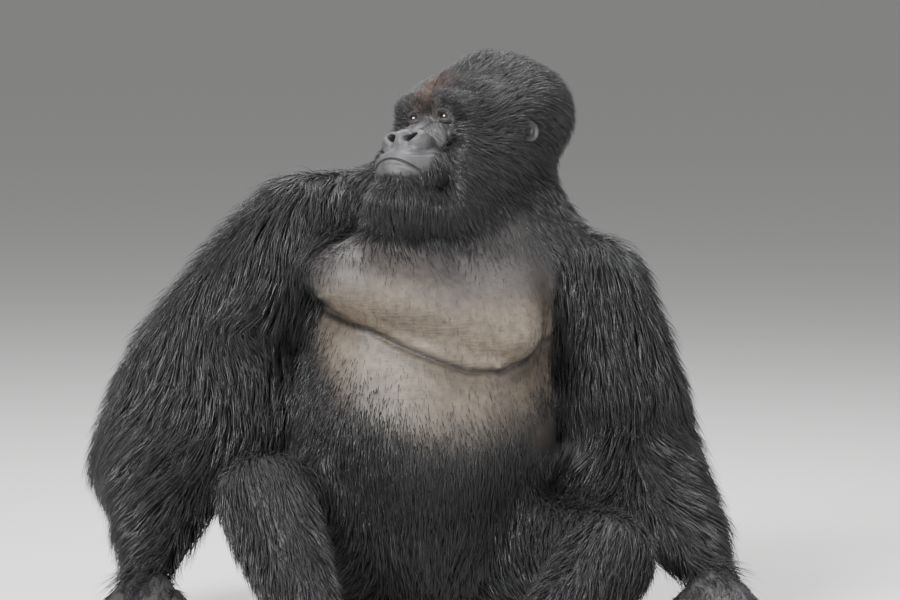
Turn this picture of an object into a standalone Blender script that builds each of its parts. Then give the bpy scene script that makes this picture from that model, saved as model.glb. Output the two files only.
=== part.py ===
"""A silverback gorilla, life size, seated on the floor with its head turned to its right.

It sits facing -Y, with +X on its own left and +Z up.  Each part of the body is laid up in
clay, as lumps wrapped two at a time in a convex skin, then fused, smoothed and faceted.
The digits, hands, feet, limbs and head are kept whole and bedded in their neighbours with
a thin gap, and the trunk and limbs are parted with thin cuts into the pieces that a person
would name.  The lumps take in the coat, so the solids reach out to the tips of the hair.
"""

import math

import bmesh
import bpy
from mathutils import Matrix, Vector

# How the head and the chest are set and turned: metres and degrees.
HEAD_CENTRE = Vector((0.052, 0.001, 0.865))
HEAD_YAW, HEAD_LEAN, HEAD_PITCH = -37, -5, -24.5
CHEST_YAW, CHEST_LEAN, CHEST_RECLINE = -14, 13, -8

# The eyes and the ears, in the head: to its left, to the back, and up from its middle.
EYE_RADIUS = 0.0118
EYE_PLACE = (0.0340, -0.090, 0.0145)
EAR_PLACE = (0.108, 0.054, 0.042)

# Where the limbs go.  Each pair is the left one and the right one.
KNEES = Vector((0.31, -0.30, 0.170)), Vector((-0.285, -0.29, 0.275))
ANKLES = Vector((0.178, -0.52, 0.075)), Vector((-0.178, -0.52, 0.075))
WRISTS = Vector((0.495, -0.22, 0.114)), Vector((-0.49, -0.235, 0.114))

# How the clay is worked.
BODY_VOXEL, HEAD_VOXEL, HAND_VOXEL, EAR_VOXEL = 0.006, 0.004, 0.003, 0.002
BODY_SMOOTHING, HEAD_SMOOTHING, HAND_SMOOTHING = 26, 7, 4
CUT = 0.0004
GAP = 0.0004

# How finely each piece is faceted, in triangles.
TRUNK_FACETS, LIMB_FACETS, HEAD_FACETS = 640, 250, 860
PALM_FACETS, FOOT_FACETS, DIGIT_FACETS, EAR_FACETS = 84, 120, 52, 90


def turned(yaw, lean=0, pitch=0):
    """A rotation made of a pitch, then a lean to the side, then a yaw, in degrees."""
    return (
        Matrix.Rotation(math.radians(yaw), 4, "Z")
        @ Matrix.Rotation(math.radians(lean), 4, "Y")
        @ Matrix.Rotation(math.radians(pitch), 4, "X")
    )


HEAD = Matrix.Translation(HEAD_CENTRE) @ turned(HEAD_YAW, HEAD_LEAN, HEAD_PITCH)
CHEST_TURN = turned(CHEST_YAW, CHEST_LEAN, CHEST_RECLINE)
LEVEL = Matrix.Identity(4)
LEFT, RIGHT = 1, -1
SIDES = (("left", LEFT), ("right", RIGHT))


# --- Clay -----------------------------------------------------------------------------


def sphere_points(detail):
    ball = bmesh.new()
    bmesh.ops.create_icosphere(ball, subdivisions=detail, radius=1)
    found = [vert.co.copy() for vert in ball.verts]
    ball.free()
    return found


UNIT = sphere_points(4)


def lump(place, size, turn=LEVEL):
    """The points of an ellipsoid: its centre, its half-sizes, and how it is turned."""
    half = Vector((size,) * 3) if isinstance(size, float) else Vector(size)
    at = Matrix.Translation(Vector(place)) @ turn.to_3x3().to_4x4()
    return [at @ Vector(p * h for p, h in zip(point, half)) for point in UNIT]


def wrap(clay, *lumps):
    """Adds one convex piece of clay that takes in all these lumps."""
    fresh = [clay.verts.new(point) for points in lumps for point in points]
    made = bmesh.ops.convex_hull(clay, input=fresh)
    spare = {v for v in made["geom_interior"] if isinstance(v, bmesh.types.BMVert)}
    bmesh.ops.delete(clay, geom=list(spare), context="VERTS")


def chain(clay, *lumps):
    """Clay along a limb: each lump is wrapped together with the next."""
    for first, second in zip(lumps, lumps[1:]):
        wrap(clay, first, second)


def settle(obj):
    """Applies an object's modifiers."""
    bpy.context.view_layer.update()
    graph = bpy.context.evaluated_depsgraph_get()
    mesh = bpy.data.meshes.new_from_object(obj.evaluated_get(graph), depsgraph=graph)
    obj.modifiers.clear()
    obj.data = mesh


def object_from(shape, name):
    mesh = bpy.data.meshes.new(name)
    shape.to_mesh(mesh)
    shape.free()
    obj = bpy.data.objects.new(name, mesh)
    bpy.context.scene.collection.objects.link(obj)
    return obj


def islands(mesh):
    """The vertices of each separate piece of a mesh, the largest first."""
    found, left = [], set(mesh.verts)
    while left:
        island, waiting = set(), [left.pop()]
        while waiting:
            vert = waiting.pop()
            island.add(vert)
            near = {edge.other_vert(vert) for edge in vert.link_edges} & left
            left -= near
            waiting += near
        found.append(island)
    return sorted(found, key=len, reverse=True)


def keep_largest(obj):
    """Drops any bubble or crumb beside the main piece of an object."""
    mesh = bmesh.new()
    mesh.from_mesh(obj.data)
    for crumb in islands(mesh)[1:]:
        bmesh.ops.delete(mesh, geom=list(crumb), context="VERTS")
    mesh.to_mesh(obj.data)
    mesh.free()


def fired(clay, name, voxel, smoothing, facets):
    """Fuses clay into one smooth closed skin with about this many triangles."""
    obj = object_from(clay, name)
    remesh = obj.modifiers.new("fuse", "REMESH")
    remesh.mode = "VOXEL"
    remesh.voxel_size = voxel
    smooth = obj.modifiers.new("smooth", "SMOOTH")
    smooth.factor = 0.5
    smooth.iterations = smoothing
    obj.modifiers.new("triangles", "TRIANGULATE")
    settle(obj)
    keep_largest(obj)
    thin = obj.modifiers.new("facets", "DECIMATE")
    thin.ratio = facets / len(obj.data.polygons)
    settle(obj)
    return obj


# --- The trunk, neck and head ---------------------------------------------------------


def head_lump(place, size):
    return lump(HEAD @ Vector(place), size, HEAD)


def both(place, side):
    return (place[0] * side, place[1], place[2])


def trunk():
    clay = bmesh.new()
    pelvis = lump((0, 0.045, 0.13), (0.225, 0.17, 0.135))
    lap = lump((0, -0.04, 0.215), (0.205, 0.185, 0.145))
    belly = lump((-0.02, -0.065, 0.345), (0.228, 0.22, 0.165), CHEST_TURN)
    loins = lump((0, 0.082, 0.36), (0.215, 0.172, 0.16))
    ribs = lump((0, 0.045, 0.53), (0.24, 0.21, 0.19), CHEST_TURN)
    yoke = lump((0.045, 0.03, 0.655), (0.235, 0.165, 0.125), CHEST_TURN)
    hump = lump((0.06, 0.135, 0.67), (0.165, 0.11, 0.13), CHEST_TURN)
    chain(clay, pelvis, lap, belly, ribs, yoke)
    chain(clay, pelvis, loins, ribs, hump)
    wrap(clay, loins, belly)
    right_breast = lump((-0.125, -0.155, 0.632), (0.10, 0.07, 0.062), CHEST_TURN)
    left_breast = lump((0.105, -0.15, 0.562), (0.105, 0.07, 0.068), CHEST_TURN)
    collar = lump((0.045, -0.06, 0.685), (0.16, 0.08, 0.05), CHEST_TURN)
    wrap(clay, right_breast, left_breast)
    wrap(clay, right_breast, collar)
    wrap(clay, left_breast, collar)
    add_neck(clay, yoke, hump)
    return fired(clay, "trunk", BODY_VOXEL, BODY_SMOOTHING, TRUNK_FACETS)


def add_neck(clay, yoke, hump):
    nape = lump((0.122, 0.108, 0.80), (0.094, 0.115, 0.11))
    throat = lump((0.05, -0.03, 0.765), (0.11, 0.09, 0.075))
    left_slope = lump((0.26, 0.03, 0.63), 0.075)
    right_slope = lump((-0.15, 0.015, 0.752), 0.088)
    for below in (throat, hump, yoke, left_slope):
        wrap(clay, nape, below)
    for below in (yoke, right_slope):
        wrap(clay, throat, below)
    wrap(clay, hump, left_slope)
    wrap(clay, hump, right_slope)


def head():
    clay = bmesh.new()
    cranium = head_lump((0, 0.03, 0.05), (0.108, 0.13, 0.105))
    front_crest = head_lump((0, 0.030, 0.140), (0.054, 0.06, 0.066))
    back_crest = head_lump((0, 0.104, 0.134), (0.072, 0.092, 0.096))
    forehead = head_lump((0, -0.070, 0.062), (0.062, 0.045, 0.045))
    nuchal = head_lump((0, 0.125, 0.05), (0.105, 0.09, 0.11))
    face = head_lump((0, -0.045, -0.03), (0.09, 0.055, 0.085))
    wrap(clay, front_crest, back_crest)
    wrap(clay, front_crest, forehead)
    wrap(clay, back_crest, nuchal)
    wrap(clay, cranium, front_crest)
    wrap(clay, cranium, nuchal)
    wrap(clay, cranium, face)
    add_muzzle(clay, face)
    for _, side in SIDES:
        occiput = head_lump(both((0.050, 0.134, 0.110), side), (0.074, 0.094, 0.100))
        wrap(clay, back_crest, occiput)
        wrap(clay, nuchal, occiput)
        wrap(clay, cranium, occiput)
        add_half_face(clay, side, forehead, cranium, nuchal)
    return fired(clay, "head", HEAD_VOXEL, HEAD_SMOOTHING, HEAD_FACETS)


def add_muzzle(clay, face):
    muzzle = head_lump((0, -0.115, -0.100), (0.072, 0.055, 0.045))
    lips = head_lump((0, -0.168, -0.108), (0.046, 0.036, 0.032))
    bridge = head_lump((0, -0.106, 0.022), (0.015, 0.014, 0.014))
    nose = head_lump((0, -0.152, -0.052), (0.046, 0.021, 0.026))
    chin = head_lump((0, -0.143, -0.150), (0.064, 0.060, 0.042))
    beard = head_lump((0, -0.120, -0.172), (0.080, 0.078, 0.050))
    for first, second in ((face, muzzle), (muzzle, lips), (bridge, nose), (nose, muzzle),
                          (nose, lips), (muzzle, chin), (chin, beard)):
        wrap(clay, first, second)


def add_half_face(clay, side, forehead, cranium, nuchal):
    inner_brow = head_lump(both((0.018, -0.118, 0.048), side), 0.021)
    outer_brow = head_lump(both((0.066, -0.104, 0.048), side), 0.022)
    temple = head_lump(both((0.064, -0.052, 0.058), side), (0.046, 0.048, 0.05))
    cheekbone = head_lump(both((0.078, -0.062, -0.014), side), (0.032, 0.038, 0.042))
    cheek = head_lump(both((0.068, -0.095, -0.062), side), (0.034, 0.042, 0.048))
    jowl = head_lump(both((0.075, -0.015, -0.06), side), (0.05, 0.085, 0.09))
    jaw = head_lump(both((0.055, -0.045, -0.13), side), (0.062, 0.085, 0.072))
    muzzle_side = head_lump(both((0.05, -0.115, -0.105), side), (0.036, 0.04, 0.04))
    beard_side = head_lump(both((0.046, -0.10, -0.160), side), (0.044, 0.058, 0.046))
    for first, second in ((inner_brow, outer_brow), (forehead, inner_brow),
                          (outer_brow, temple), (temple, cheekbone), (cheekbone, cheek),
                          (cheekbone, jowl), (cheek, jowl), (cheek, muzzle_side),
                          (jowl, jaw), (jowl, nuchal), (jaw, beard_side),
                          (muzzle_side, beard_side), (cranium, jowl), (cranium, temple),
                          (forehead, temple)):
        wrap(clay, first, second)


def ear(name, side):
    clay = bmesh.new()
    out, back, up = EAR_PLACE
    rim = []
    for degrees in range(-70, 187, 32):
        angle = math.radians(degrees)
        place = (out, back + 0.015 * math.sin(angle), up + 0.021 * math.cos(angle))
        rim.append(head_lump(both(place, side), 0.0045))
    chain(clay, *rim)
    drum = head_lump(both((out - 0.009, back - 0.007, up), side), (0.007, 0.017, 0.022))
    wrap(clay, drum)
    for part in rim:
        wrap(clay, drum, part)
    return fired(clay, name, EAR_VOXEL, 3, EAR_FACETS)


def eye(name, side):
    ball = bmesh.new()
    at = Matrix.Translation(HEAD @ Vector(both(EYE_PLACE, side)))
    bmesh.ops.create_uvsphere(ball, u_segments=12, v_segments=8, radius=EYE_RADIUS,
                              matrix=at)
    return object_from(ball, name)


# --- The limbs ------------------------------------------------------------------------


def left_arm():
    clay = bmesh.new()
    shoulder = lump((0.29, 0.005, 0.615), 0.116)
    biceps = lump((0.335, 0.0, 0.48), (0.120, 0.115, 0.10))
    fringe = lump((0.342, 0.0, 0.415), (0.140, 0.125, 0.06))
    elbow = lump((0.400, 0.075, 0.32), (0.095, 0.085, 0.09))
    upper_forearm = lump((0.362, -0.02, 0.295), (0.148, 0.10, 0.095))
    hanging_coat = lump((0.355, -0.06, 0.225), (0.135, 0.080, 0.082))
    lower_forearm = lump((0.440, -0.125, 0.195), (0.105, 0.08, 0.078))
    wrist = lump(WRISTS[0], 0.050)
    chain(clay, shoulder, biceps, fringe, elbow, upper_forearm, lower_forearm, wrist)
    chain(clay, upper_forearm, hanging_coat, lower_forearm)
    return fired(clay, "left_arm", BODY_VOXEL, BODY_SMOOTHING, LIMB_FACETS)


def right_arm():
    clay = bmesh.new()
    shoulder = lump((-0.22, -0.01, 0.725), 0.12)
    biceps = lump((-0.335, -0.02, 0.60), 0.12)
    above_elbow = lump((-0.432, 0.0, 0.475), (0.125, 0.12, 0.12))
    elbow = lump((-0.495, 0.04, 0.365), (0.115, 0.11, 0.10))
    fringe = lump((-0.535, 0.05, 0.28), (0.100, 0.09, 0.09))
    inner_elbow = lump((-0.380, -0.025, 0.410), (0.150, 0.11, 0.170))
    upper_forearm = lump((-0.465, -0.08, 0.28), (0.130, 0.095, 0.10))
    lower_forearm = lump((-0.48, -0.16, 0.20), (0.095, 0.08, 0.075))
    wrist = lump(WRISTS[1], 0.050)
    chain(clay, shoulder, biceps, above_elbow, elbow, upper_forearm, lower_forearm, wrist)
    chain(clay, above_elbow, inner_elbow, elbow, fringe, upper_forearm, inner_elbow)
    return fired(clay, "right_arm", BODY_VOXEL, BODY_SMOOTHING, LIMB_FACETS)


def leg(name, side, knee_place, ankle_place):
    clay = bmesh.new()
    hip = lump(both((0.165, -0.04, 0.125), side), (0.105, 0.125, 0.132))
    knee = lump(knee_place, 0.095)
    calf_place = knee_place.lerp(ankle_place, 0.4) + Vector((0, 0.02, -0.015))
    calf = lump(calf_place, 0.088)
    chain(clay, hip, knee, calf, lump(ankle_place, 0.055))
    return fired(clay, name, BODY_VOXEL, BODY_SMOOTHING, LIMB_FACETS)


def hand(side_name, side, wrist_place):
    """The palm and the five fingers of a hand that rests on its knuckles."""
    at = Matrix.Translation(wrist_place)
    floor = -wrist_place.z

    def part(x, y, z, size):
        return lump(at @ Vector((x * side, y, z)), size)

    clay = bmesh.new()
    carpus = part(0, 0, 0, (0.042, 0.036, 0.032))
    across = (-0.054, -0.018, 0.018, 0.054)
    heads = [part(x, -0.080, -0.030, 0.0215) for x in across]
    wrap(clay, carpus, *heads)
    pieces = [fired(clay, "palm_" + side_name, HAND_VOXEL, HAND_SMOOTHING, PALM_FACETS)]
    reach = {"index": 0.124, "middle": 0.130, "ring": 0.125, "little": 0.114}
    for x, (finger, knuckle) in zip(across, reach.items()):
        clay = bmesh.new()
        chain(clay,
              part(x, -0.088, -0.038, 0.0178),
              part(x, -knuckle, floor + 0.0145, 0.0178),
              part(x, -knuckle + 0.044, floor + 0.0130, 0.0165),
              part(x, -knuckle + 0.062, floor + 0.033, 0.0140))
        name = finger + "_finger_" + side_name
        pieces.append(fired(clay, name, HAND_VOXEL, HAND_SMOOTHING, DIGIT_FACETS))
    clay = bmesh.new()
    chain(clay,
          part(-0.046, -0.034, -0.014, 0.0170),
          part(-0.082, -0.052, -0.046, 0.0155),
          part(-0.090, -0.076, -0.076, 0.0130))
    name = "thumb_" + side_name
    pieces.append(fired(clay, name, HAND_VOXEL, HAND_SMOOTHING, DIGIT_FACETS))
    return pieces


def foot(side_name, side, ankle_place):
    """The sole and the five toes of a foot that stands flat."""
    at = Matrix.Translation((ankle_place.x, ankle_place.y, 0)) @ turned(8 * side)

    def part(x, y, z, size):
        return lump(at @ Vector((x * side, y, z)), size, at)

    clay = bmesh.new()
    ankle = part(0, 0, ankle_place.z, (0.040, 0.040, 0.034))
    heel = part(0, 0.025, 0.031, (0.040, 0.045, 0.034))
    arch = part(0.004, -0.075, 0.040, (0.046, 0.050, 0.034))
    ball = part(0.010, -0.140, 0.026, (0.054, 0.034, 0.029))
    big_ball = part(-0.038, -0.092, 0.026, (0.028, 0.036, 0.028))
    wrap(clay, ankle, heel)
    wrap(clay, ankle, arch)
    wrap(clay, heel, arch)
    wrap(clay, arch, ball)
    wrap(clay, arch, big_ball)
    pieces = [fired(clay, "foot_" + side_name, HAND_VOXEL, HAND_SMOOTHING, FOOT_FACETS)]
    sizes = ((-0.029, 0.062, 0.0125), (-0.002, 0.066, 0.0125), (0.025, 0.062, 0.012),
             (0.050, 0.052, 0.0115))
    for number, (x, length, radius) in enumerate(sizes, 2):
        clay = bmesh.new()
        chain(clay,
              part(x, -0.155, 0.020, radius + 0.001),
              part(x + 0.002, -0.160 - length * 0.55, 0.021, radius + 0.0005),
              part(x + 0.001, -0.160 - length, radius - 0.002, radius))
        name = "toe_" + str(number) + "_" + side_name
        pieces.append(fired(clay, name, HAND_VOXEL, HAND_SMOOTHING, DIGIT_FACETS))
    clay = bmesh.new()
    chain(clay,
          part(-0.048, -0.108, 0.022, 0.0185),
          part(-0.068, -0.146, 0.019, 0.0185),
          part(-0.076, -0.180, 0.014, 0.0165))
    name = "big_toe_" + side_name
    pieces.append(fired(clay, name, HAND_VOXEL, HAND_SMOOTHING, DIGIT_FACETS))
    return pieces


# --- Bedding, cutting and naming ------------------------------------------------------


def carve(block, tool):
    """Takes a tool's shape away from a block."""
    modifier = block.modifiers.new("carve", "BOOLEAN")
    modifier.operation = "DIFFERENCE"
    modifier.solver = "EXACT"
    modifier.object = tool
    settle(block)


def bed(block, *pieces):
    """Hollows a block so that each piece sits in it with a thin gap all round."""
    for piece in pieces:
        swollen = bpy.data.objects.new("swollen", piece.data.copy())
        bpy.context.scene.collection.objects.link(swollen)
        normals = [vert.normal.copy() for vert in swollen.data.vertices]
        for vert, normal in zip(swollen.data.vertices, normals):
            vert.co += normal * GAP
        carve(block, swollen)
        bpy.data.objects.remove(swollen)


def cut(block, place, turn=LEVEL):
    """A cut right through a block, across its own length."""
    disc = bmesh.new()
    at = Matrix.Translation(Vector(place)) @ turn.to_3x3().to_4x4()
    bmesh.ops.create_cone(disc, cap_ends=True, segments=24, radius1=0.5, radius2=0.5,
                          depth=CUT, matrix=at)
    blade = object_from(disc, "blade")
    carve(block, blade)
    bpy.data.objects.remove(blade)


def tidy(obj):
    """Leaves only triangles, all facing outward."""
    mesh = bmesh.new()
    mesh.from_mesh(obj.data)
    bmesh.ops.remove_doubles(mesh, verts=mesh.verts, dist=1e-5)
    bmesh.ops.dissolve_degenerate(mesh, edges=mesh.edges, dist=1e-5)
    bmesh.ops.triangulate(mesh, faces=mesh.faces)
    bmesh.ops.recalc_face_normals(mesh, faces=mesh.faces)
    mesh.to_mesh(obj.data)
    mesh.free()


def stand(obj):
    """Cuts an object flat where it reaches the floor."""
    mesh = bmesh.new()
    mesh.from_mesh(obj.data)
    everything = mesh.verts[:] + mesh.edges[:] + mesh.faces[:]
    bmesh.ops.bisect_plane(mesh, geom=everything, plane_co=(0, 0, 0),
                           plane_no=(0, 0, 1), clear_inner=True)
    bmesh.ops.holes_fill(mesh, edges=[edge for edge in mesh.edges if edge.is_boundary])
    mesh.to_mesh(obj.data)
    mesh.free()
    tidy(obj)


def share_out(block, places):
    """Names the pieces that a block was cut into, each by the place it is nearest."""
    whole = bmesh.new()
    whole.from_mesh(block.data)
    middles = []
    for island in islands(whole)[:len(places)]:
        middles.append(sum((vert.co for vert in island), Vector()) / len(island))
    whole.free()
    for name, place in places.items():
        chosen = min(middles, key=lambda middle: (middle - Vector(place)).length)
        copy = bmesh.new()
        copy.from_mesh(block.data)
        for island in islands(copy):
            middle = sum((vert.co for vert in island), Vector()) / len(island)
            if (middle - chosen).length > 1e-4:
                bmesh.ops.delete(copy, geom=list(island), context="VERTS")
        tidy(object_from(copy, name))
    bpy.data.objects.remove(block)


def part_trunk(block):
    cut(block, (0.05, 0.03, 0.750), CHEST_TURN)
    cut(block, (0, 0, 0.500), CHEST_TURN)
    cut(block, (0, 0, 0.235))
    share_out(block, {
        "neck": (0.08, 0.05, 0.80),
        "chest": (0.03, 0, 0.62),
        "belly": (0, -0.05, 0.36),
        "hips": (0, 0, 0.12),
    })


def part_arm(block, side_name, elbow, turn):
    cut(block, elbow, turn)
    above = Vector(elbow) + Vector((0, 0, 0.15))
    below = Vector(elbow) - Vector((0, 0.1, 0.15))
    share_out(block, {"upper_arm_" + side_name: above, "forearm_" + side_name: below})


def part_leg(block, side_name, knee, ankle):
    cut(block, knee, turned(0, 0, 99))
    thigh = knee + Vector((0, 0.12, 0))
    share_out(block, {"thigh_" + side_name: thigh, "shin_" + side_name: ankle})


def centre_on_floor():
    """Moves the model so that the origin is under the middle of its bounding box."""
    places = [vert.co for obj in bpy.data.objects for vert in obj.data.vertices]
    low = Vector(min(place[axis] for place in places) for axis in range(3))
    high = Vector(max(place[axis] for place in places) for axis in range(3))
    middle = Vector(((low.x + high.x) / 2, (low.y + high.y) / 2, low.z))
    for obj in bpy.data.objects:
        obj.data.transform(Matrix.Translation(-middle))


def colour(obj):
    """Black coat, dark grey skin on the hands, feet and ears, and brown eyes."""
    bare = ("palm", "finger", "thumb", "foot", "toe", "ear")
    if "eye" in obj.name:
        base, roughness = (0.030, 0.014, 0.008, 1), 0.08
    elif any(word in obj.name.split("_") for word in bare) or "toe" in obj.name:
        base, roughness = (0.030, 0.028, 0.028, 1), 0.55
    else:
        base, roughness = (0.022, 0.022, 0.025, 1), 0.75
    material = bpy.data.materials.new(obj.name)
    material.use_nodes = True
    shader = material.node_tree.nodes["Principled BSDF"]
    shader.inputs["Base Color"].default_value = base
    shader.inputs["Roughness"].default_value = roughness
    obj.data.materials.clear()
    obj.data.materials.append(material)


def main():
    for obj in list(bpy.data.objects):
        bpy.data.objects.remove(obj)
    torso, skull = trunk(), head()
    ears = [ear("ear_" + name, side) for name, side in SIDES]
    eyes = [eye("eye_" + name, side) for name, side in SIDES]
    arms = [left_arm(), right_arm()]
    hands = [hand(name, side, wrist) for (name, side), wrist in zip(SIDES, WRISTS)]
    legs = [leg("leg_" + name, side, knee, ankle)
            for (name, side), knee, ankle in zip(SIDES, KNEES, ANKLES)]
    feet = [foot(name, side, ankle) for (name, side), ankle in zip(SIDES, ANKLES)]
    for obj in (torso, *legs, *sum(hands, []), *sum(feet, [])):
        stand(obj)
    bed(skull, *ears, *eyes)
    bed(torso, skull, *arms, *legs)
    bed(arms[1], skull)
    for arm, thigh_and_shin in zip(arms, legs):
        bed(thigh_and_shin, arm)
    for limb, (end, *digits) in zip(arms + legs, hands + feet):
        thumb_or_big_toe = digits[-1]
        bed(limb, end, thumb_or_big_toe)
        bed(end, *digits)
    for obj in (skull, *ears, *eyes, *sum(hands, []), *sum(feet, [])):
        keep_largest(obj)
        tidy(obj)
    part_trunk(torso)
    part_arm(arms[0], "left", (0.38, 0.04, 0.358), turned(0, -10, -8))
    part_arm(arms[1], "right", (-0.49, 0.03, 0.375), turned(0, 16, -14))
    for block, (name, _), knee, ankle in zip(legs, SIDES, KNEES, ANKLES):
        part_leg(block, name, knee, ankle)
    centre_on_floor()
    for obj in bpy.data.objects:
        colour(obj)


main()
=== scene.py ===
"""The looks of a life-size model of a seated silverback gorilla.

One skin covers the whole body, with its folds, lips, nostrils and lids.  Locks of hair
grow out of it along the lie of the coat.  Eyes, ears and nails are pieces of their own.
"""

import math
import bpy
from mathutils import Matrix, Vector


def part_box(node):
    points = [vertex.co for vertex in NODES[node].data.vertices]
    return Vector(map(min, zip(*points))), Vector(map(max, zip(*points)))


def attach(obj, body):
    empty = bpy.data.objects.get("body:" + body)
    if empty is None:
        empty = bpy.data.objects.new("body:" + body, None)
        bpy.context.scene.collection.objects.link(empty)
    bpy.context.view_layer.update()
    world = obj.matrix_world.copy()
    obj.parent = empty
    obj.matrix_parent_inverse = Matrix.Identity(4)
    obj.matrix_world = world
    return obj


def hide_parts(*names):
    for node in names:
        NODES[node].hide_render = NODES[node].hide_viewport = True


bl_info = {
    "name": "Seated Silverback",
    "version": (1, 0, 0),
    "blender": (4, 5, 0),
    "location": "View3D > Sidebar > Gorilla",
    "description": "Dresses a seated silverback gorilla in skin and coat",
    "category": "Object",
}

import bmesh
import bpy
import numpy as np
from mathutils import Matrix, Vector
from mathutils.bvhtree import BVHTree

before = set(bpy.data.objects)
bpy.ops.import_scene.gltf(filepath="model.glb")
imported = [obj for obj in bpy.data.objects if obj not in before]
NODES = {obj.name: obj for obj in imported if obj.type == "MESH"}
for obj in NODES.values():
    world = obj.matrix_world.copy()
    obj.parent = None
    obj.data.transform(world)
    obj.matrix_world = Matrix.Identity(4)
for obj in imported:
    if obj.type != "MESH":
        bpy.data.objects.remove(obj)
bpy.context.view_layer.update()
MM = 0.001
FLOOR_GAP = 0.0004                       # the locks keep this far above the floor
HEAD_PITCH = -24.5                       # degrees; the head is raised
EYE_FORWARD, EYE_UP = 90.0, 14.5         # where the eyes lie in the head, in millimetres
# From the floor under the hips to the middle of the eyes.
SEAT_TO_EYES = (0.00282, -0.05695, 0.91532)


# --- Where things are -----------------------------------------------------------------


def middle(node):
    low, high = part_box(node)
    return (Vector(low) + Vector(high)) / 2


LEFT_EYE, RIGHT_EYE = middle("eye_left"), middle("eye_right")
EYES = (LEFT_EYE + RIGHT_EYE) / 2
EYE_RADIUS = (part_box("eye_left")[1][2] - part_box("eye_left")[0][2]) / 2
ACROSS = (LEFT_EYE - RIGHT_EYE).normalized()
HEAD_TURN = (
    Matrix.Rotation(math.atan2(ACROSS.y, ACROSS.x), 4, "Z")
    @ Matrix.Rotation(-math.asin(ACROSS.z), 4, "Y")
    @ Matrix.Rotation(math.radians(HEAD_PITCH), 4, "X")
)
EYES_IN_HEAD = Vector((0, -EYE_FORWARD * MM, EYE_UP * MM))
HEAD = Matrix.Translation(EYES - HEAD_TURN @ EYES_IN_HEAD) @ HEAD_TURN
SEAT = EYES - Vector(SEAT_TO_EYES)
# An eye's place in the head: how far to its side, forward and up, in millimetres.
EYE_SPOT = ((LEFT_EYE - RIGHT_EYE).length / 2 / MM, EYE_FORWARD, EYE_UP)

SIDES = (("left", 1), ("right", -1))
FINGERS = ["thumb", "index_finger", "middle_finger", "ring_finger", "little_finger"]
TOES = ["big_toe", "toe_2", "toe_3", "toe_4", "toe_5"]
DIGITS = [part + "_" + side for side, _ in SIDES for part in FINGERS + TOES]
EARS = ["ear_left", "ear_right"]
BULK = [name for name in NODES if name not in DIGITS + EARS and "eye" not in name]
ENDS = {end + "_" + side: [part + "_" + side for part in [end] + digits]
        for end, digits in (("palm", FINGERS), ("foot", TOES)) for side, _ in SIDES}


def at(x, y, z):
    """A place measured from the floor under the hips: left, back and up."""
    return SEAT + Vector((x, y, z))


def from_seat(points):
    return points - np.array(SEAT)


def in_head(points):
    """Places in the head, as rows of left, forward and up, in millimetres."""
    turn = np.array(HEAD.inverted())
    place = points @ turn[:3, :3].T + turn[:3, 3]
    return place * np.array((1, -1, 1)) / MM


def out_of_head(place):
    turn = np.array(HEAD)
    return (place * np.array((1, -1, 1)) * MM) @ turn[:3, :3].T + turn[:3, 3]


# --- Meshes as arrays -----------------------------------------------------------------


def settle(obj):
    """Turns an object's modifiers into a plain mesh."""
    bpy.context.view_layer.update()
    graph = bpy.context.evaluated_depsgraph_get()
    mesh = bpy.data.meshes.new_from_object(obj.evaluated_get(graph), depsgraph=graph)
    obj.modifiers.clear()
    obj.data = mesh


def new_object(name, mesh):
    obj = bpy.data.objects.new(name, mesh)
    bpy.context.scene.collection.objects.link(obj)
    return obj


def mesh_from(shape, name):
    mesh = bpy.data.meshes.new(name)
    shape.to_mesh(mesh)
    shape.free()
    return mesh


def rows_of(items, field, width, kind=np.float32):
    """One row of numbers for each vertex or edge."""
    values = np.empty(len(items) * width, dtype=kind)
    items.foreach_get(field, values)
    return values.reshape(-1, width)


def points_of(mesh):
    return rows_of(mesh.vertices, "co", 3).astype(float)


def normals_of(mesh):
    return rows_of(mesh.vertex_normals, "vector", 3).astype(float)


def edges_of(mesh):
    return rows_of(mesh.edges, "vertices", 2, np.int32)


def move_points(mesh, points):
    mesh.vertices.foreach_set("co", points.astype(np.float32).ravel())
    mesh.update()


def keep(mesh, name, values):
    """Stores one number or one vector for each point of a mesh."""
    kind, field = ("FLOAT", "value") if values.ndim == 1 else ("FLOAT_VECTOR", "vector")
    made = mesh.attributes.new(name, kind, "POINT")
    made.data.foreach_set(field, values.astype(np.float32).ravel())


def relaxed(values, edges, rounds, amount=None):
    """Values at the points of a mesh, blended with their neighbours' several times."""
    count = len(values)
    near = np.maximum(np.bincount(edges.ravel(), minlength=count), 1).astype(float)
    flat = values.reshape(count, -1).astype(float)
    blend = 0.5 if amount is None else 0.5 * amount[:, None]
    first, second = edges[:, 0], edges[:, 1]
    for _ in range(rounds):
        total = np.empty_like(flat)
        for axis in range(flat.shape[1]):
            column = flat[:, axis]
            total[:, axis] = (np.bincount(first, weights=column[second], minlength=count)
                              + np.bincount(second, weights=column[first], minlength=count))
        flat = flat + blend * (total / near[:, None] - flat)
    return flat.reshape(values.shape)


def ramp(values, low, high):
    """A soft step: 0 before low and 1 past high."""
    x = np.clip((values - low) / (high - low), 0, 1)
    return x * x * (3 - 2 * x)


def band(values, start, full, fading, gone):
    """1 between full and fading, 0 before start and past gone, and soft between those."""
    return ramp(values, start, full) * (1 - ramp(values, fading, gone))


def unit(vectors):
    return vectors / np.maximum(np.linalg.norm(vectors, axis=-1, keepdims=True), 1e-9)


def along_surface(vectors, normals):
    """The part of each vector that lies in the surface, one unit long."""
    return unit(vectors - normals * (vectors * normals).sum(axis=1, keepdims=True))


# --- The face -------------------------------------------------------------------------

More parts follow.
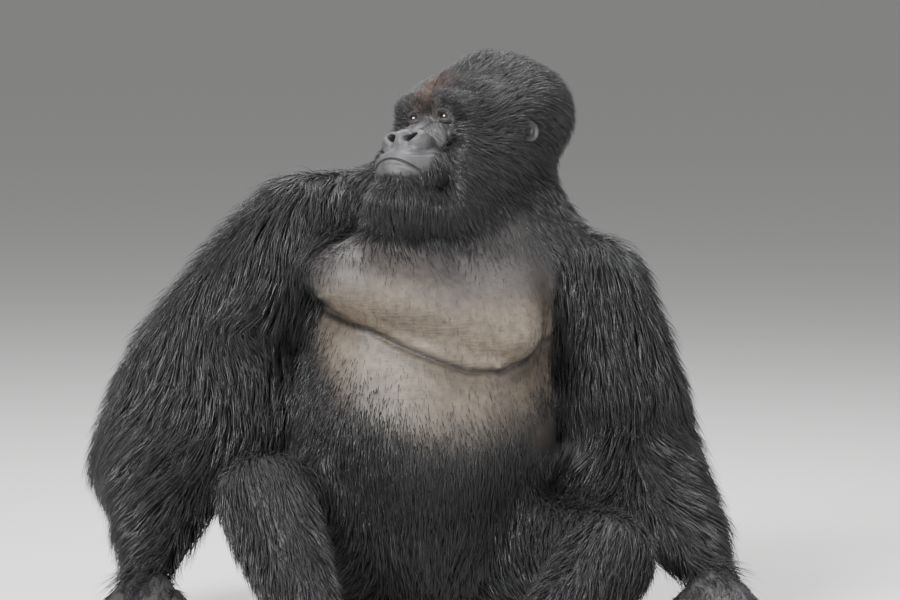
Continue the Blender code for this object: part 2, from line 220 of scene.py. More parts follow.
# The forms of the face, in millimetres in the head: the place (left, forward and up), the
# half-sizes, and how far each leans forward, in degrees.  A place off the middle is used
# on both sides.
FACE_FORMS = (
    ((0, 28, -5), (82, 71, 92), 0),         # the skull under the face
    ((0, 103, 42), (20, 18, 14), 0),        # the brow, from the middle outward
    ((24, 107, 42), (20, 18, 14), 0),
    ((46, 102, 42), (20, 18, 14), 0),
    ((64, 90, 38), (17, 19, 15), 0),
    ((74, 74, 27), (13, 18, 18), 0),
    ((62, 78, -13), (22, 22, 17), 0),       # the cheekbone
    ((23, 92, -30), (27, 28, 36), 0),       # the slope beside the nose
    ((0, 108, -6), (13, 8, 36), -46),       # the bridge of the nose
    ((0, 148, -53), (18, 21, 23), 0),       # the pad of the nose
    ((28, 141, -53), (22, 22, 21), 0),      # the wings of the nose
    ((0, 108, -84), (66, 58, 42), 0),       # the muzzle
    ((0, 118, -97), (63, 61, 38), 0),       # the upper lip
    ((0, 125, -116), (52, 51, 24), 0),      # the lower lip
    ((0, 120, -142), (52, 50, 28), 0),      # the chin
)
FACE_CORE = np.array((0.0, 30.0, -40.0))
FACE_BLEND = 12                          # how widely the forms run into each other
MUZZLE = (0.0, 150.0, -28.0)             # the coat of the head runs away from here
NOSTRIL = (21.0, -49.0)
NOSTRIL_SIZE = (13.5, 7.2)
NOSTRIL_SLANT = math.radians(24)
MOUTH_HALF_WIDTH = 63.0
# The groove between the lips, the lips' edges and the crease under them: how high over
# the groove each lies, how far it stands out, and its width.
LIP_LINES = ((0.0, -4.0, 1.7), (5.0, 0.7, 3.4), (-5.5, 0.9, 4.0), (-18.0, -1.8, 6.0))
EYE_OPENING = (10.6, 6.2, 5.6)
LID_REACH = (18.5, 13.5)
LID_SPOKES = 64
# The rings of the lids: how far out each lies, from the opening at 0 to the socket at 1,
# and how high it stands over the ball.
LID_RINGS = ((0.0, -1.4), (0.0, 0.1), (0.0, 0.9), (0.03, 1.5), (0.07, 1.75), (0.13, 1.8),
             (0.19, 1.5), (0.24, 0.8), (0.29, 1.5), (0.35, 1.8), (0.42, 1.7), (0.49, 1.1),
             (0.56, 1.3), (0.64, 1.2), (0.72, 1.0), (0.80, 0.8), (0.87, 0.6), (0.93, 0.5),
             (1.0, 0.0))


def reach(directions, place, size, lean):
    """How far each ray from the core of the face runs before it leaves an ellipsoid."""
    turn = np.array(Matrix.Rotation(math.radians(lean), 3, "X"))
    start = (turn @ (FACE_CORE - np.array(place, float))) / np.array(size, float)
    way = (directions @ turn.T) / np.array(size, float)
    square = (way * way).sum(axis=1)
    closest = -(way @ start) / square
    miss = ((start + closest[:, None] * way) ** 2).sum(axis=1)
    inside = np.sqrt(np.maximum(1 - miss, 0) / square)
    outside = 40 * np.sqrt(np.maximum(miss - 1, 0))
    return closest + inside - outside


def soft_max(first, second, blend):
    gap = np.maximum(blend - np.abs(first - second), 0) / blend
    return np.maximum(first, second) + gap * gap * blend / 4


def bell(distance, width):
    return np.exp(-(distance / width) ** 2)


def mouth_height(left):
    """The height of the line between the lips."""
    return -97.0 - 22.0 * (np.abs(left) / MOUTH_HALF_WIDTH) ** 1.9


def nostril_distance(left, up):
    """How far out a point lies, 1 being a nostril's rim, and how far over its middle."""
    across, high = np.abs(left) - NOSTRIL[0], up - NOSTRIL[1]
    cosine, sine = math.cos(NOSTRIL_SLANT), math.sin(NOSTRIL_SLANT)
    long_way = (across * cosine + high * sine) / NOSTRIL_SIZE[0]
    short_way = (high * cosine - across * sine) / NOSTRIL_SIZE[1]
    return np.hypot(long_way, short_way), short_way


def face_form(rays):
    """How far from the core of the face its skin lies, along each ray."""
    form = np.full(len(rays), 1.0)
    for (side, *middle_plane), size, lean in FACE_FORMS:
        for left in (side, -side) if side else (0,):
            reached = reach(rays, (left, *middle_plane), size, lean)
            form = soft_max(form, reached, FACE_BLEND)
    left, forward, up = (FACE_CORE + rays * form[:, None]).T
    wide = np.abs(left)
    form = carve_mouth(form, left, forward, up)
    form = carve_nose(form, left, forward, up)
    # Wrinkles that run from the inner eye down beside the nose.
    slant = (wide - 20) * 0.8 + (up + 8) * 0.6
    beside = band(wide, 10, 20, 38, 52) * bell(up + 16, 17)
    form += 0.9 * np.sin(slant * 1.25) * beside
    # The eye sockets, with folds round them.
    eye_l, _, eye_u = EYE_SPOT
    off = np.hypot((wide - eye_l) / 1.25, up - eye_u)
    form -= 4.0 * bell(off, 17) * ramp(forward, 60, 80)
    rings = 1.1 * np.sin(off * 1.15 + 0.6) * band(off, 11.5, 14, 21, 27)
    form += rings * ramp(forward, 60, 80) * (1 - ramp(up, eye_u + 4, eye_u + 10))
    return form


def carve_mouth(form, left, forward, up):
    """A thin closed mouth: a groove between the lips that turns down at its ends."""
    wide = np.abs(left)
    below = up - mouth_height(left)
    ends = 1 - ramp(wide, MOUTH_HALF_WIDTH - 10, MOUTH_HALF_WIDTH + 2)
    in_front = ramp(forward, 100, 118)
    for height, lift, width in LIP_LINES:
        form = form + lift * bell(below - height, width) * ends * in_front
    form -= 2.0 * bell(np.hypot(wide - 66, (up + 120) * 0.7), 8) * in_front
    form -= 0.8 * bell(left, 4) * band(up, -98, -88, -76, -68) * in_front
    return form


def carve_nose(form, left, forward, up):
    """A pit in each nostril under a raised rim, and creases behind the wings."""
    wide = np.abs(left)
    rim, over = nostril_distance(left, up)
    nose = ramp(forward, 114, 128) * ramp(up, -88, -76)
    form = form + 3.4 * bell(rim - 1.75, 0.42) * nose * (0.35 + 0.65 * ramp(over, -1.2, 0.6))
    form -= 19.0 * (1 - ramp(rim, 0.62, 1.12)) * nose
    form -= 2.6 * bell(left, 2.6) * band(up, -66, -54, -39, -27) * nose
    crease = np.hypot(wide - 22, (up + 51) * 1.15)
    form -= 3.8 * bell(crease - 32, 3.2) * ramp(wide, 14, 30) * ramp(forward, 94, 110)
    form -= 2.2 * bell(crease - 43, 3.0) * ramp(wide, 30, 42) * (1 - ramp(up, -33, -13))
    return form


def sculpt_face(place, edges):
    """Moves points of the skin, given as places in the head, into a gorilla's face."""
    rays = unit(place - FACE_CORE)
    placed = FACE_CORE + rays * face_form(rays)[:, None]
    weight = (1 - ramp(np.abs(place[:, 0]), 70, 92)) * ramp(place[:, 1], 45, 72)
    weight *= band(place[:, 2], -168, -146, 52, 82)
    moved = place + (placed - place) * weight[:, None]
    off = np.hypot(np.abs(moved[:, 0]) - EYE_SPOT[0], moved[:, 2] - EYE_SPOT[2])
    above = band(moved[:, 2], 8, 16, 30, 38)
    moved = relaxed(moved, edges, 14, above * (1 - ramp(off, 24, 34)) * weight)
    for side in (1, -1):
        moved = sink_socket(moved, np.array(EYE_SPOT) * (side, 1, 1), side)
    return moved


def sink_socket(place, ball, side):
    """Keeps the skin round an eyeball just under the lids."""
    lids = lid_mesh(side)
    corners = in_head(points_of(lids))
    tree = BVHTree.FromPolygons(corners.tolist(), [list(f.vertices) for f in lids.polygons])
    gap = place - ball
    across = np.hypot(gap[:, 0] / LID_REACH[0], gap[:, 2] / LID_REACH[1])
    place = place.copy()
    free = ramp(across, 0.80, 0.90)
    for number in np.flatnonzero((across < 0.90) & (gap[:, 1] > -12)):
        left, forward, up = place[number]
        hit = tree.ray_cast(Vector((left, 160, up)), Vector((0, -1, 0)))[0]
        under = ball[1] - 2 if hit is None or across[number] < 0.6 else hit.y - 1.3
        place[number, 1] += (min(forward, under) - forward) * (1 - free[number])
    return place


def skin_ahead(left, up):
    """How far forward the skin of the face first lies, going forward from the sockets."""
    steps = np.arange(74.0, 134.0, 0.5)
    place = np.stack(np.broadcast_arrays(left[:, None], steps, up[:, None]), axis=-1)
    way = (place - FACE_CORE).reshape(-1, 3)
    far = np.linalg.norm(way, axis=1)
    outside = (far - face_form(way / far[:, None])).reshape(len(left), len(steps))
    rows = np.arange(len(left))
    first = np.maximum(np.argmax(outside > 0, axis=1), 1)
    last = len(steps) - np.argmax(outside[:, ::-1] <= 0, axis=1)
    first = np.where(up < EYE_SPOT[2], np.clip(last, 1, len(steps) - 1), first)
    before, after = outside[rows, first - 1], outside[rows, first]
    return steps[first] - 0.5 * after / np.maximum(after - before, 1e-6)


def lid_mesh(side):
    """The lids of one eye: rings from the edge of the opening out to the socket."""
    eye_l, eye_f, eye_u = EYE_SPOT
    radius = EYE_RADIUS / MM
    angles = np.arange(LID_SPOKES) * math.tau / LID_SPOKES
    cosine, sine = np.cos(angles), np.sin(angles)
    wide, above, under = EYE_OPENING
    tall = np.where(sine > 0, above, under) * (1 - 0.25 * np.abs(cosine) ** 3)
    almond = np.stack((wide * cosine, tall * sine - 0.10 * wide * cosine), axis=1)
    outline = np.array(LID_REACH) * np.stack((cosine, sine), axis=1)
    share, lift = np.array(LID_RINGS).T[:, :, None]
    flat = almond * (1 - share[..., None]) + outline * share[..., None]
    spread = np.hypot(flat[..., 0], flat[..., 1])
    height = np.sqrt(np.maximum((radius + lift) ** 2 - spread ** 2, 0))
    over_ball = eye_f + height - 30 * ramp(spread - radius - lift, -1, 1)
    left, up = flat[..., 0] + eye_l, flat[..., 1] + eye_u
    skin = skin_ahead(left.ravel(), up.ravel()).reshape(left.shape)
    for _ in range(4):
        skin = (skin + np.roll(skin, 1, axis=1) + np.roll(skin, -1, axis=1)) / 3
    skin = skin - 40 * (1 - ramp(share, 0.0, 0.30))
    forward = soft_max(over_ball, skin, 2.5) - 3.5 * ramp(share, 0.66, 1.0)
    shape = bmesh.new()
    rings = []
    for row in np.stack((left * side, forward, up), axis=-1):
        rings.append([shape.verts.new(spot) for spot in out_of_head(row)])
    for inner, outer in zip(rings, rings[1:] + rings[:1]):
        for spoke in range(LID_SPOKES):
            after = (spoke + 1) % LID_SPOKES
            quad = (inner[spoke], outer[spoke], outer[after], inner[after])
            shape.faces.new(quad if side > 0 else quad[::-1])
    return mesh_from(shape, "lids")


# --- The skin -------------------------------------------------------------------------

# How far the nodes swell before they are fused, and the size of the voxels that fuse them,
# for the body and for each hand or foot.
BODY_SWELL, BODY_VOXEL = 0.0014, 0.013
END_SWELL, END_VOXEL = 0.0004, 0.003
END_TRIANGLES = 7000                     # how many a hand or a foot keeps


def joined(names, swell):
    """One mesh of these nodes, each swollen so that the thin cuts between them close."""
    whole = bmesh.new()
    for name in names:
        part = bmesh.new()
        part.from_mesh(NODES[name].data)
        bmesh.ops.remove_doubles(part, verts=part.verts, dist=1e-5)
        part.normal_update()
        for vert in part.verts:
            vert.co += vert.normal * swell
        mesh = mesh_from(part, "part")
        whole.from_mesh(mesh)
        bpy.data.meshes.remove(mesh)
    return mesh_from(whole, "joined")


def largest_island(mesh):
    shape = bmesh.new()
    shape.from_mesh(mesh)
    left, best = set(shape.verts), []
    while left:
        waiting, island = [left.pop()], []
        while waiting:
            vert = waiting.pop()
            island.append(vert)
            near = {edge.other_vert(vert) for edge in vert.link_edges} & left
            left -= near
            waiting += near
        best = max(best, island, key=len)
    kept = set(best)
    spare = [vert for vert in shape.verts if vert not in kept]
    bmesh.ops.delete(shape, geom=spare, context="VERTS")
    shape.to_mesh(mesh)
    shape.free()


def fused(names, swell, voxel, rounds):
    """One closed smooth surface round these nodes, as a mesh."""
    obj = new_object("fused", joined(names, swell))
    modifier = obj.modifiers.new("fuse", "REMESH")
    modifier.mode = "VOXEL"
    modifier.voxel_size = voxel
    settle(obj)
    mesh = obj.data
    bpy.data.objects.remove(obj)
    largest_island(mesh)
    move_points(mesh, relaxed(points_of(mesh), edges_of(mesh), rounds))
    return mesh


def thinned(mesh, triangles):
    """The same surface with fewer triangles."""
    obj = new_object("thinned", mesh)
    obj.modifiers.new("triangles", "TRIANGULATE")
    settle(obj)
    modifier = obj.modifiers.new("thin", "DECIMATE")
    modifier.ratio = triangles / len(obj.data.polygons)
    settle(obj)
    thin = obj.data
    bpy.data.objects.remove(obj)
    return thin


def refine(mesh, chosen, cuts):
    """Splits each edge of the faces whose middles are chosen."""
    shape = bmesh.new()
    shape.from_mesh(mesh)
    middles = np.array([face.calc_center_median() for face in shape.faces])
    faces = [face for face, take in zip(shape.faces, chosen(middles)) if take]
    edges = list({edge for face in faces for edge in face.edges})
    bmesh.ops.subdivide_edges(shape, edges=edges, cuts=cuts, use_grid_fill=True, smooth=0.8)
    shape.to_mesh(mesh)
    shape.free()
    mesh.update()


def is_face(points):
    left, forward, up = in_head(points).T
    return (np.abs(left) < 82) & (forward > 60) & (up > -160) & (up < 76)


def is_fine_face(points):
    left, forward, up = in_head(points).T
    eye = np.hypot((np.abs(left) - EYE_SPOT[0]) / 1.15, up - EYE_SPOT[2]) < 24
    snout = (np.abs(left) < 70) & (forward > 104) & (up > -130) & (up < -24)
    return (eye & (forward > 70)) | snout


def is_front(points):
    x, y, z = from_seat(points).T
    return (np.abs(x - 0.01) < 0.24) & (y < -0.08) & (z > 0.44) & (z < 0.72)


def nearest_nodes(points, names):
    """For each point, the number in names of the node whose surface is nearest."""
    corners, faces, owner = [], [], []
    for number, name in enumerate(names):
        mesh = NODES[name].data
        first = len(corners)
        corners += [vert.co for vert in mesh.vertices]
        faces += [[first + index for index in face.vertices] for face in mesh.polygons]
        owner += [number] * len(mesh.polygons)
    tree = BVHTree.FromPolygons(corners, faces)
    return np.array([owner[tree.find_nearest(Vector(point))[2]] for point in points])


# The coat on each part of the body: how deep it lies, how long and wide its locks are
# (in millimetres), and how many locks grow on a square centimetre.
COAT = {
    "head": (17, 34, 2.0, 9.6),
    "neck": (22, 46, 2.8, 4.2),
    "chest": (18, 52, 3.6, 2.2),
    "belly": (15, 46, 3.2, 2.8),
    "hips": (18, 55, 4.2, 1.3),
    "upper_arm": (28, 84, 2.8, 3.2),
    "forearm": (30, 88, 2.8, 3.4),
    "thigh": (18, 56, 3.8, 1.7),
    "shin": (18, 58, 3.2, 2.4),
    "palm": (3, 17, 1.7, 5.0),
    "foot": (2, 12, 1.5, 3.0),
}
BELLY_COAT = (11, 34, 2.3, 4.6)
BARE = (0, 8, 1.2, 0.0)
DEPTH, LENGTH, WIDTH, DENSITY = range(4)
SQUARE_CENTIMETRE = 0.01 * 0.01


def part_of(node):
    """The part of the body that a node belongs to, without its side."""
    return node.removesuffix("_left").removesuffix("_right")


BULK_PARTS = [part_of(name) for name in BULK]


def grows_on(labels, *parts):
    """1 at the points that lie on these parts of the body, and 0 elsewhere."""
    return np.isin(BULK_PARTS, parts)[labels].astype(float)


def body_coat(points, normals, labels, edges):
    """The coat's depth, length, width and density at each point of the body."""
    table = np.array([COAT.get(part, BARE) for part in BULK_PARTS], float)
    coat = relaxed(table[labels], edges, 10)
    x, y, z = from_seat(points).T
    trunk = relaxed(grows_on(labels, "chest", "belly", "neck", "hips"), edges, 4)
    front = np.maximum(ramp(-normals[:, 1], -0.15, 0.45), ramp(-y, 0.04, 0.11)) * trunk
    hair_line = np.interp(x, (-0.25, -0.19, -0.094, -0.012, 0.077, 0.142),
                          (0.484, 0.436, 0.395, 0.354, 0.342, 0.354))
    chest = front * bell(np.maximum(np.abs(x - 0.01) - 0.15, 0), 0.08)
    # Toward the throat: more hair, and darker skin, partly painted shade under the head.
    chest *= ramp(z - hair_line, -0.06, 0.15) * (1 - 0.5 * ramp(z, 0.63, 0.70))
    chest *= 1 - ramp(z, 0.735, 0.80)
    belly = front * ramp(z, 0.18, 0.30)
    coat = coat * (1 - belly[:, None]) + np.array(BELLY_COAT) * belly[:, None]
    coat[:, :3] *= 1 - np.array((0.95, 0.62, 0.62)) * chest[:, None]
    coat[:, DENSITY] *= 1 - 0.88 * ramp(chest, 0.05, 0.90)
    # Between each arm and the belly the coat is pressed flat, so no light comes through.
    pressed = bell(np.hypot(x - 0.228, z - 0.356), 0.070)
    off_legs = 1 - grows_on(labels, "thigh", "shin")
    pressed += bell(np.hypot(x + 0.258, z - 0.318), 0.055) * (0.4 + 0.6 * off_legs)
    coat[:, DEPTH] *= 1 - 0.96 * np.minimum(pressed, 1)
    coat[:, DEPTH] -= 18 * bell(np.hypot(x - 0.227, z - 0.358), 0.034)
    coat[:, DEPTH] -= 16 * bell(np.hypot(x + 0.247, z - 0.314), 0.026) * off_legs
    return coat, chest


def head_coat(points, coat, head):
    """Thins and shortens the coat over the face."""
    left, forward, up = in_head(points).T
    wide = np.abs(left)
    bare_half = np.interp(up, (-150, -125, -100, -50, 0, 20, 34, 44),
                          (20, 46, 66, 64, 60, 57, 50, 0))
    bare = (1 - ramp(wide - bare_half, -6, 7)) * ramp(forward, 62, 74) * head
    bare *= band(up, -138, -124, 30, 42)
    close = ramp(forward, 50, 105) * (1 - ramp(up, 60, 95)) * ramp(up, -120, -60) * head
    brow = ramp(forward, 84, 100) * band(up, 20, 34, 62, 100) * head
    beard = head * (1 - ramp(up, -150, -120))
    for column, measure, share in (
            (LENGTH, 26, close), (DEPTH, 9, close), (DEPTH, 5, brow), (LENGTH, 15, brow),
            (WIDTH, 1.3, brow), (DENSITY, 22, brow), (LENGTH, 36, beard)):
        coat[:, column] += (measure - coat[:, column]) * share
    ear = head * bell(np.hypot(forward + 46, up - 42), 27) * ramp(wide, 70, 85)
    coat[:, (DEPTH, LENGTH)] *= 1 - 0.70 * ear[:, None]
    coat[:, DENSITY] *= 1 - 0.55 * ear
    coat[:, (DEPTH, DENSITY)] *= 1 - bare[:, None]
    return coat, bare


DOWNHILL = Vector((0, 0, -1))
# Each limb's coat runs on toward the next part of the limb and downhill, in these shares.
LIMBS = {"upper_arm": ("forearm", 1, 0.5), "forearm": ("palm", 0.5, 1),
         "thigh": ("shin", 1, 0.6), "shin": ("foot", 1, 0.3)}


def lie_of_coat(points, normals, labels, head):
    """Which way the hair runs at each point: downhill, along the limbs, off the face."""
    ways = []
    for name, part in zip(BULK, BULK_PARTS):
        way = DOWNHILL
        if part in LIMBS:
            next_part, onward, downhill = LIMBS[part]
            limb = middle(name.replace(part, next_part)) - middle(name)
            way = limb.normalized() * onward + way * downhill
        elif part in ("palm", "foot"):
            way = Vector((0, -1, -0.5))
        ways.append(way.normalized())
    lie = np.array(ways)[labels]
    x, _, z = from_seat(points).T
    # The right forearm's coat sweeps outward, the left one's parts down its middle, and
    # a whorl turns in the bend of the right elbow.
    lie[:, 0] -= 0.6 * (labels == BULK.index("forearm_right"))
    lie[:, 0] += 0.8 * np.tanh((x - 0.367) / 0.05) * (labels == BULK.index("forearm_left"))
    across, high = x + 0.3275, z - 0.559
    whorl = 1.8 * bell(np.hypot(across, high), 0.055) * ramp(-normals[:, 1], 0.0, 0.4)
    off = np.maximum(np.hypot(across, high), 0.01)
    lie[:, 0] -= whorl * high / off
    lie[:, 2] += whorl * across / off
    place = in_head(points)
    off_face = place - np.array(MUZZLE)
    off_face[:, 2] += 40 * ramp(place[:, 1], 110, 60) - 60 * (1 - ramp(place[:, 1], -90, 20))
    turn = np.array(HEAD_TURN)[:3, :3]
    off_face = unit((off_face * np.array((1, -1, 1))) @ turn.T)
    low = (1 - ramp(place[:, 2], -60, 0)) * 0.5 + (1 - ramp(place[:, 1], -120, -20)) * 0.9
    off_face = unit(off_face + np.array(DOWNHILL) * low[:, None])
    return lie + (off_face - lie) * head[:, None]


def flesh_body():
    """The body without fingers and toes, with its coat worked out."""
    mesh = fused(BULK, BODY_SWELL, BODY_VOXEL, rounds=7)
    for chosen, cuts in ((is_front, 2), (is_face, 4), (is_fine_face, 1)):
        refine(mesh, chosen, cuts)
    edges = edges_of(mesh)
    points = points_of(mesh)
    fine = is_face(points).astype(float) + 0.5 * is_front(points)
    points = relaxed(points, edges, 30, np.minimum(fine, 1))
    move_points(mesh, points)
    normals = relaxed(normals_of(mesh), edges, 6)
    labels = nearest_nodes(points, BULK)
    head = relaxed(grows_on(labels, "head"), edges, 5)
    coat, chest = body_coat(points, normals, labels, edges)
    coat, bare = head_coat(points, coat, head)
    lie = relaxed(lie_of_coat(points, normals, labels, head), edges, 8)
    ends = grows_on(labels, "palm", "foot")
    depth = relaxed(np.where(ends > 0, 5, coat[:, DEPTH]), edges, 6) * MM
    coat[:, DENSITY] *= 1 - ends
    points = points - unit(normals) * (depth + BODY_SWELL)[:, None]
    points = relaxed(points, edges, 3, 1 - ramp(bare + chest, 0.1, 0.3))
    place = in_head(points)
    on_head = ramp(head, 0.3, 0.7)[:, None]
    points = points + (out_of_head(sculpt_face(place, edges)) - points) * on_head
    place = in_head(points)
    # Painted shade in the nostrils and along the line of the mouth.
    hollow = hollows(place) * (head > 0.5)
    # Darker round the eyes: partly darker skin, partly painted shade under the brow.
    bare *= 1 - 0.7 * eye_shade(place)
    points = sculpt_chest(points, normals)
    move_points(mesh, points)
    # Paler toward the nose: partly paler skin, partly a painted highlight of its sheen.
    nose = bell(np.linalg.norm(place - np.array((0, 155, -62)), axis=1), 46)
    # Chest paleness with painted shade at the throat, and the painted shadow under the fold.
    pale, fold = chest_shades(points, normals)
    marks = {"bare": np.maximum(bare, chest), "chest": chest * pale,
             "face": bare * (0.35 + 0.65 * nose),
             "hollow": np.maximum(hollow, fold * ramp(chest, 0.1, 0.5))}
    return mesh, coat, lie, marks


def chest_shades(points, normals):
    """How pale the chest is, and the painted shadow line under its fold, from 0 to 1."""
    x, _, z = from_seat(points).T
    # Darker toward the throat and upper middle: partly darker skin, partly painted shade.
    pale = 1 - 0.75 * ramp(z, 0.59, 0.66)
    pale *= 1 - 0.60 * ramp(z, 0.56, 0.62) * ramp(x, -0.08, 0.06)
    under = z - fold_height(x)
    # A painted shadow line in the fold, and wider painted shade just below it.
    fold = 0.75 * bell(under, 0.006) + 0.42 * bell(under + 0.018, 0.017)
    return pale, fold * (ramp(normals[:, 1], 0.0, -0.3) * (np.abs(x) < 0.215))


def eye_shade(place):
    """Darker skin above and round the eyes, partly painted brow shade, from 0 to 1."""
    left, _, up = place.T
    off = np.hypot((np.abs(left) - EYE_SPOT[0]) / 1.2, (up - EYE_SPOT[2] - 10) * 0.9)
    return np.maximum(bell(off, 19), ramp(up, 24, 34) * bell(left, 80))


def hollows(place):
    """Painted shade in the nostrils and along the line of the mouth, from 0 to 1."""
    left, forward, up = place.T
    rim, _ = nostril_distance(left, up)
    nostril = (1 - ramp(rim, 0.62, 1.0)) * ramp(forward, 112, 124)
    mouth = bell(up - mouth_height(left), 1.6) * (1 - ramp(np.abs(left), 54, 66))
    return np.maximum(nostril, 0.85 * mouth * ramp(forward, 100, 118))


def fold_height(x):
    """The height of the fold under the breasts."""
    return np.interp(x, (-0.21, -0.19, -0.107, -0.053, 0.018, 0.071, 0.125, 0.169, 0.196),
                     (0.595, 0.575, 0.552, 0.529, 0.502, 0.484, 0.480, 0.498, 0.53))


def sculpt_chest(points, normals):
    """The notch over the breastbone, the folds under the breasts, and the nipples."""
    x, _, z = from_seat(points).T
    front = ramp(-normals[:, 1], 0.1, 0.5)
    lift = -0.006 * bell(np.hypot(x - 0.045, (z - 0.66) * 0.9), 0.028) * front
    lift += 0.004 * bell(np.hypot(x - 0.040, z - 0.632), 0.018) * front
    for spot in ((-0.190, 0.612), (0.118, 0.492)):
        off = np.hypot(x - spot[0], z - spot[1])
        lift += (0.007 * bell(off, 0.0065) + 0.002 * bell(off - 0.013, 0.005)) * front
    fold_z = fold_height(x)
    across = band(x, -0.21, -0.17, 0.17, 0.21) * front
    lift -= 0.007 * bell(z - fold_z, 0.006) * across
    lift += 0.003 * bell(z - fold_z - 0.016, 0.010) * across
    for number in range(5):
        height = 0.46 - 0.026 * number + 0.012 * np.sin(x * 9 + number * 1.7)
        lift -= 0.0012 * bell(z - height, 0.004) * front * bell(x + 0.02, 0.17)
    return points + unit(normals) * lift[:, None]


def flesh_end(block):
    """A hand with its fingers or a foot with its toes, with its coat worked out."""
    names = ENDS[block]
    mesh = thinned(fused(names, END_SWELL, END_VOXEL, rounds=2), END_TRIANGLES)
    edges, points, normals = edges_of(mesh), points_of(mesh), normals_of(mesh)
    labels = nearest_nodes(points, names)
    creases = relaxed((labels == 0).astype(float), edges, 2)
    points = points - normals * (0.0012 * bell(creases - 0.5, 0.25))[:, None]
    depth, length, width, density = COAT[part_of(block)]
    facing, along = normals[:, 2], points[:, 1]
    if part_of(block) == "palm":
        facing, along = 0.5 * normals[:, 2] - normals[:, 1], points[:, 2]
    behind = ramp(relaxed(facing, edges, 3), 0.1, 0.6)
    main = relaxed((labels == 0).astype(float), edges, 8)
    start = ramp(along, *np.quantile(along, (0.55, 0.95)))
    near = ramp(along, *np.quantile(along, (0.35, 0.80)))
    thick = np.maximum(1.5 * density * behind * ramp(main, 0.3, 0.9) * near, 3.0 * start)
    plain = np.ones(len(points))
    coat = np.stack((depth * plain, 6 + (length - 6) * main + 14 * start, width * plain,
                     thick), axis=1)
    lie = np.tile((0.0, -1.0, -0.35), (len(points), 1))
    move_points(mesh, points)
    return mesh, coat, lie, {"bare": 1 - behind * main * near}


def flesh_lids(side):
    """The lids of one eye, with no coat."""
    mesh = lid_mesh(side)
    count = len(mesh.vertices)
    # The lids are darker: partly darker skin, partly painted shade under the brow.
    shade = 1 - 0.7 * eye_shade(in_head(points_of(mesh)))
    marks = {"bare": shade, "face": 0.45 * shade}
    return mesh, np.tile(BARE, (count, 1)), np.tile(DOWNHILL, (count, 1)), marks


def markings(points, normals):
    """Where the coat is brown on the forehead and silver on the back, from 0 to 1."""
    left, forward, up = in_head(points).T
    brown = bell(np.hypot(left / 26, (up - 62) / 30), 1) * ramp(forward, 60, 90)
    x, y, z = from_seat(points).T
    silver = ramp(normals[:, 1], -0.1, 0.6) * ramp(y, 0.02, 0.16)
    silver *= band(z, 0.08, 0.32, 0.50, 0.70)
    silver *= 1 - ramp(np.abs(x - 0.02), 0.10, 0.27)
    return brown, silver


def unwrap(obj):
    """Lays the skin's surface out flat in a map named OFBake."""
    bpy.context.view_layer.objects.active = obj
    obj.select_set(True)
    obj.data.uv_layers.new(name="OFBake")
    bpy.ops.object.mode_set(mode="EDIT")
    bpy.ops.mesh.select_all(action="SELECT")
    bpy.ops.uv.smart_project(angle_limit=math.radians(66), island_margin=0.001)
    bpy.ops.object.mode_set(mode="OBJECT")
    obj.select_set(False)


LIMB_REGIONS = {"upper_arm": ["upper_arm"], "forearm": ["forearm", "palm"],
                "leg": ["thigh", "shin", "foot"]}
# The pieces that the coat is made in, each with the nodes it grows on.
REGIONS = {"neck": ["neck"], "back": [], "chest_and_belly": [], "hips": ["hips"],
           "crown": [], "beard": [], "cheek_left": [], "cheek_right": [],
           **{region + "_" + side: [part + "_" + side for part in parts]
              for side, _ in SIDES for region, parts in LIMB_REGIONS.items()}}


def regions(points, normals):
    """For each point, the number in REGIONS of the piece of coat that grows there."""
    names = list(REGIONS)
    owner = {node: piece for piece, nodes in REGIONS.items() for node in nodes}
    labels = nearest_nodes(points, BULK)
    found = np.array([names.index(owner.get(name, "back")) for name in BULK])[labels]
    left, forward, up = in_head(points).T
    front = (grows_on(labels, "chest", "belly") > 0) & (normals[:, 1] < 0.1)
    head = grows_on(labels, "head") > 0
    crown = head & (up > 62 - 0.25 * np.minimum(forward, 60))
    beard = head & ~crown & (up < -112)
    cheek = head & ~crown & ~beard
    for name, here in (("chest_and_belly", front), ("crown", crown), ("beard", beard),
                       ("cheek_left", cheek & (left > 0)),
                       ("cheek_right", cheek & (left <= 0))):
        found[here] = names.index(name)
    return found


class MakeSkin(bpy.types.Operator):
    """Lay one skin over the whole body"""

    bl_idname = "gorilla.make_skin"
    bl_label = "Skin"

    def execute(self, context):
        made = [flesh_body()] + [flesh_lids(sign) for _, sign in SIDES]
        made += [flesh_end(block) for block in ENDS]
        meshes, coats, lies, marks = zip(*made)
        whole = bmesh.new()
        for mesh in meshes:
            whole.from_mesh(mesh)
        bmesh.ops.triangulate(whole, faces=[f for f in whole.faces if len(f.verts) > 4])
        mesh = mesh_from(whole, "skin")
        coat, lie = np.concatenate(coats), np.concatenate(lies)
        skin = new_object("skin", mesh)
        mesh.shade_smooth()
        points, normals = points_of(mesh), normals_of(mesh)
        keep(mesh, "lie", along_surface(lie, normals))
        for name, column in (("depth", DEPTH), ("length", LENGTH), ("width", WIDTH)):
            keep(mesh, name, coat[:, column] * MM)
        keep(mesh, "density", coat[:, DENSITY] / SQUARE_CENTIMETRE)
        for name in ("bare", "chest", "face", "hollow"):
            keep(mesh, name, np.concatenate([
                own.get(name, np.zeros(len(rows))) for own, rows in zip(marks, coats)]))
        brown, silver = markings(points, normals)
        keep(mesh, "brown", brown)
        keep(mesh, "silver", silver)
        found = regions(points, normals)
        for number, name in enumerate(REGIONS):
            keep(mesh, "on_" + name, (found == number).astype(float))
        unwrap(skin)
        mesh.materials.append(skin_material())
        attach(skin, "root")
        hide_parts(*BULK, *DIGITS)
        return {"FINISHED"}


# --- Node trees -----------------------------------------------------------------------

VECTOR = "FLOAT_VECTOR"


def in_use(sockets):
    """The sockets that a node shows, out of all those it has."""
    return [socket for socket in sockets if socket.enabled]


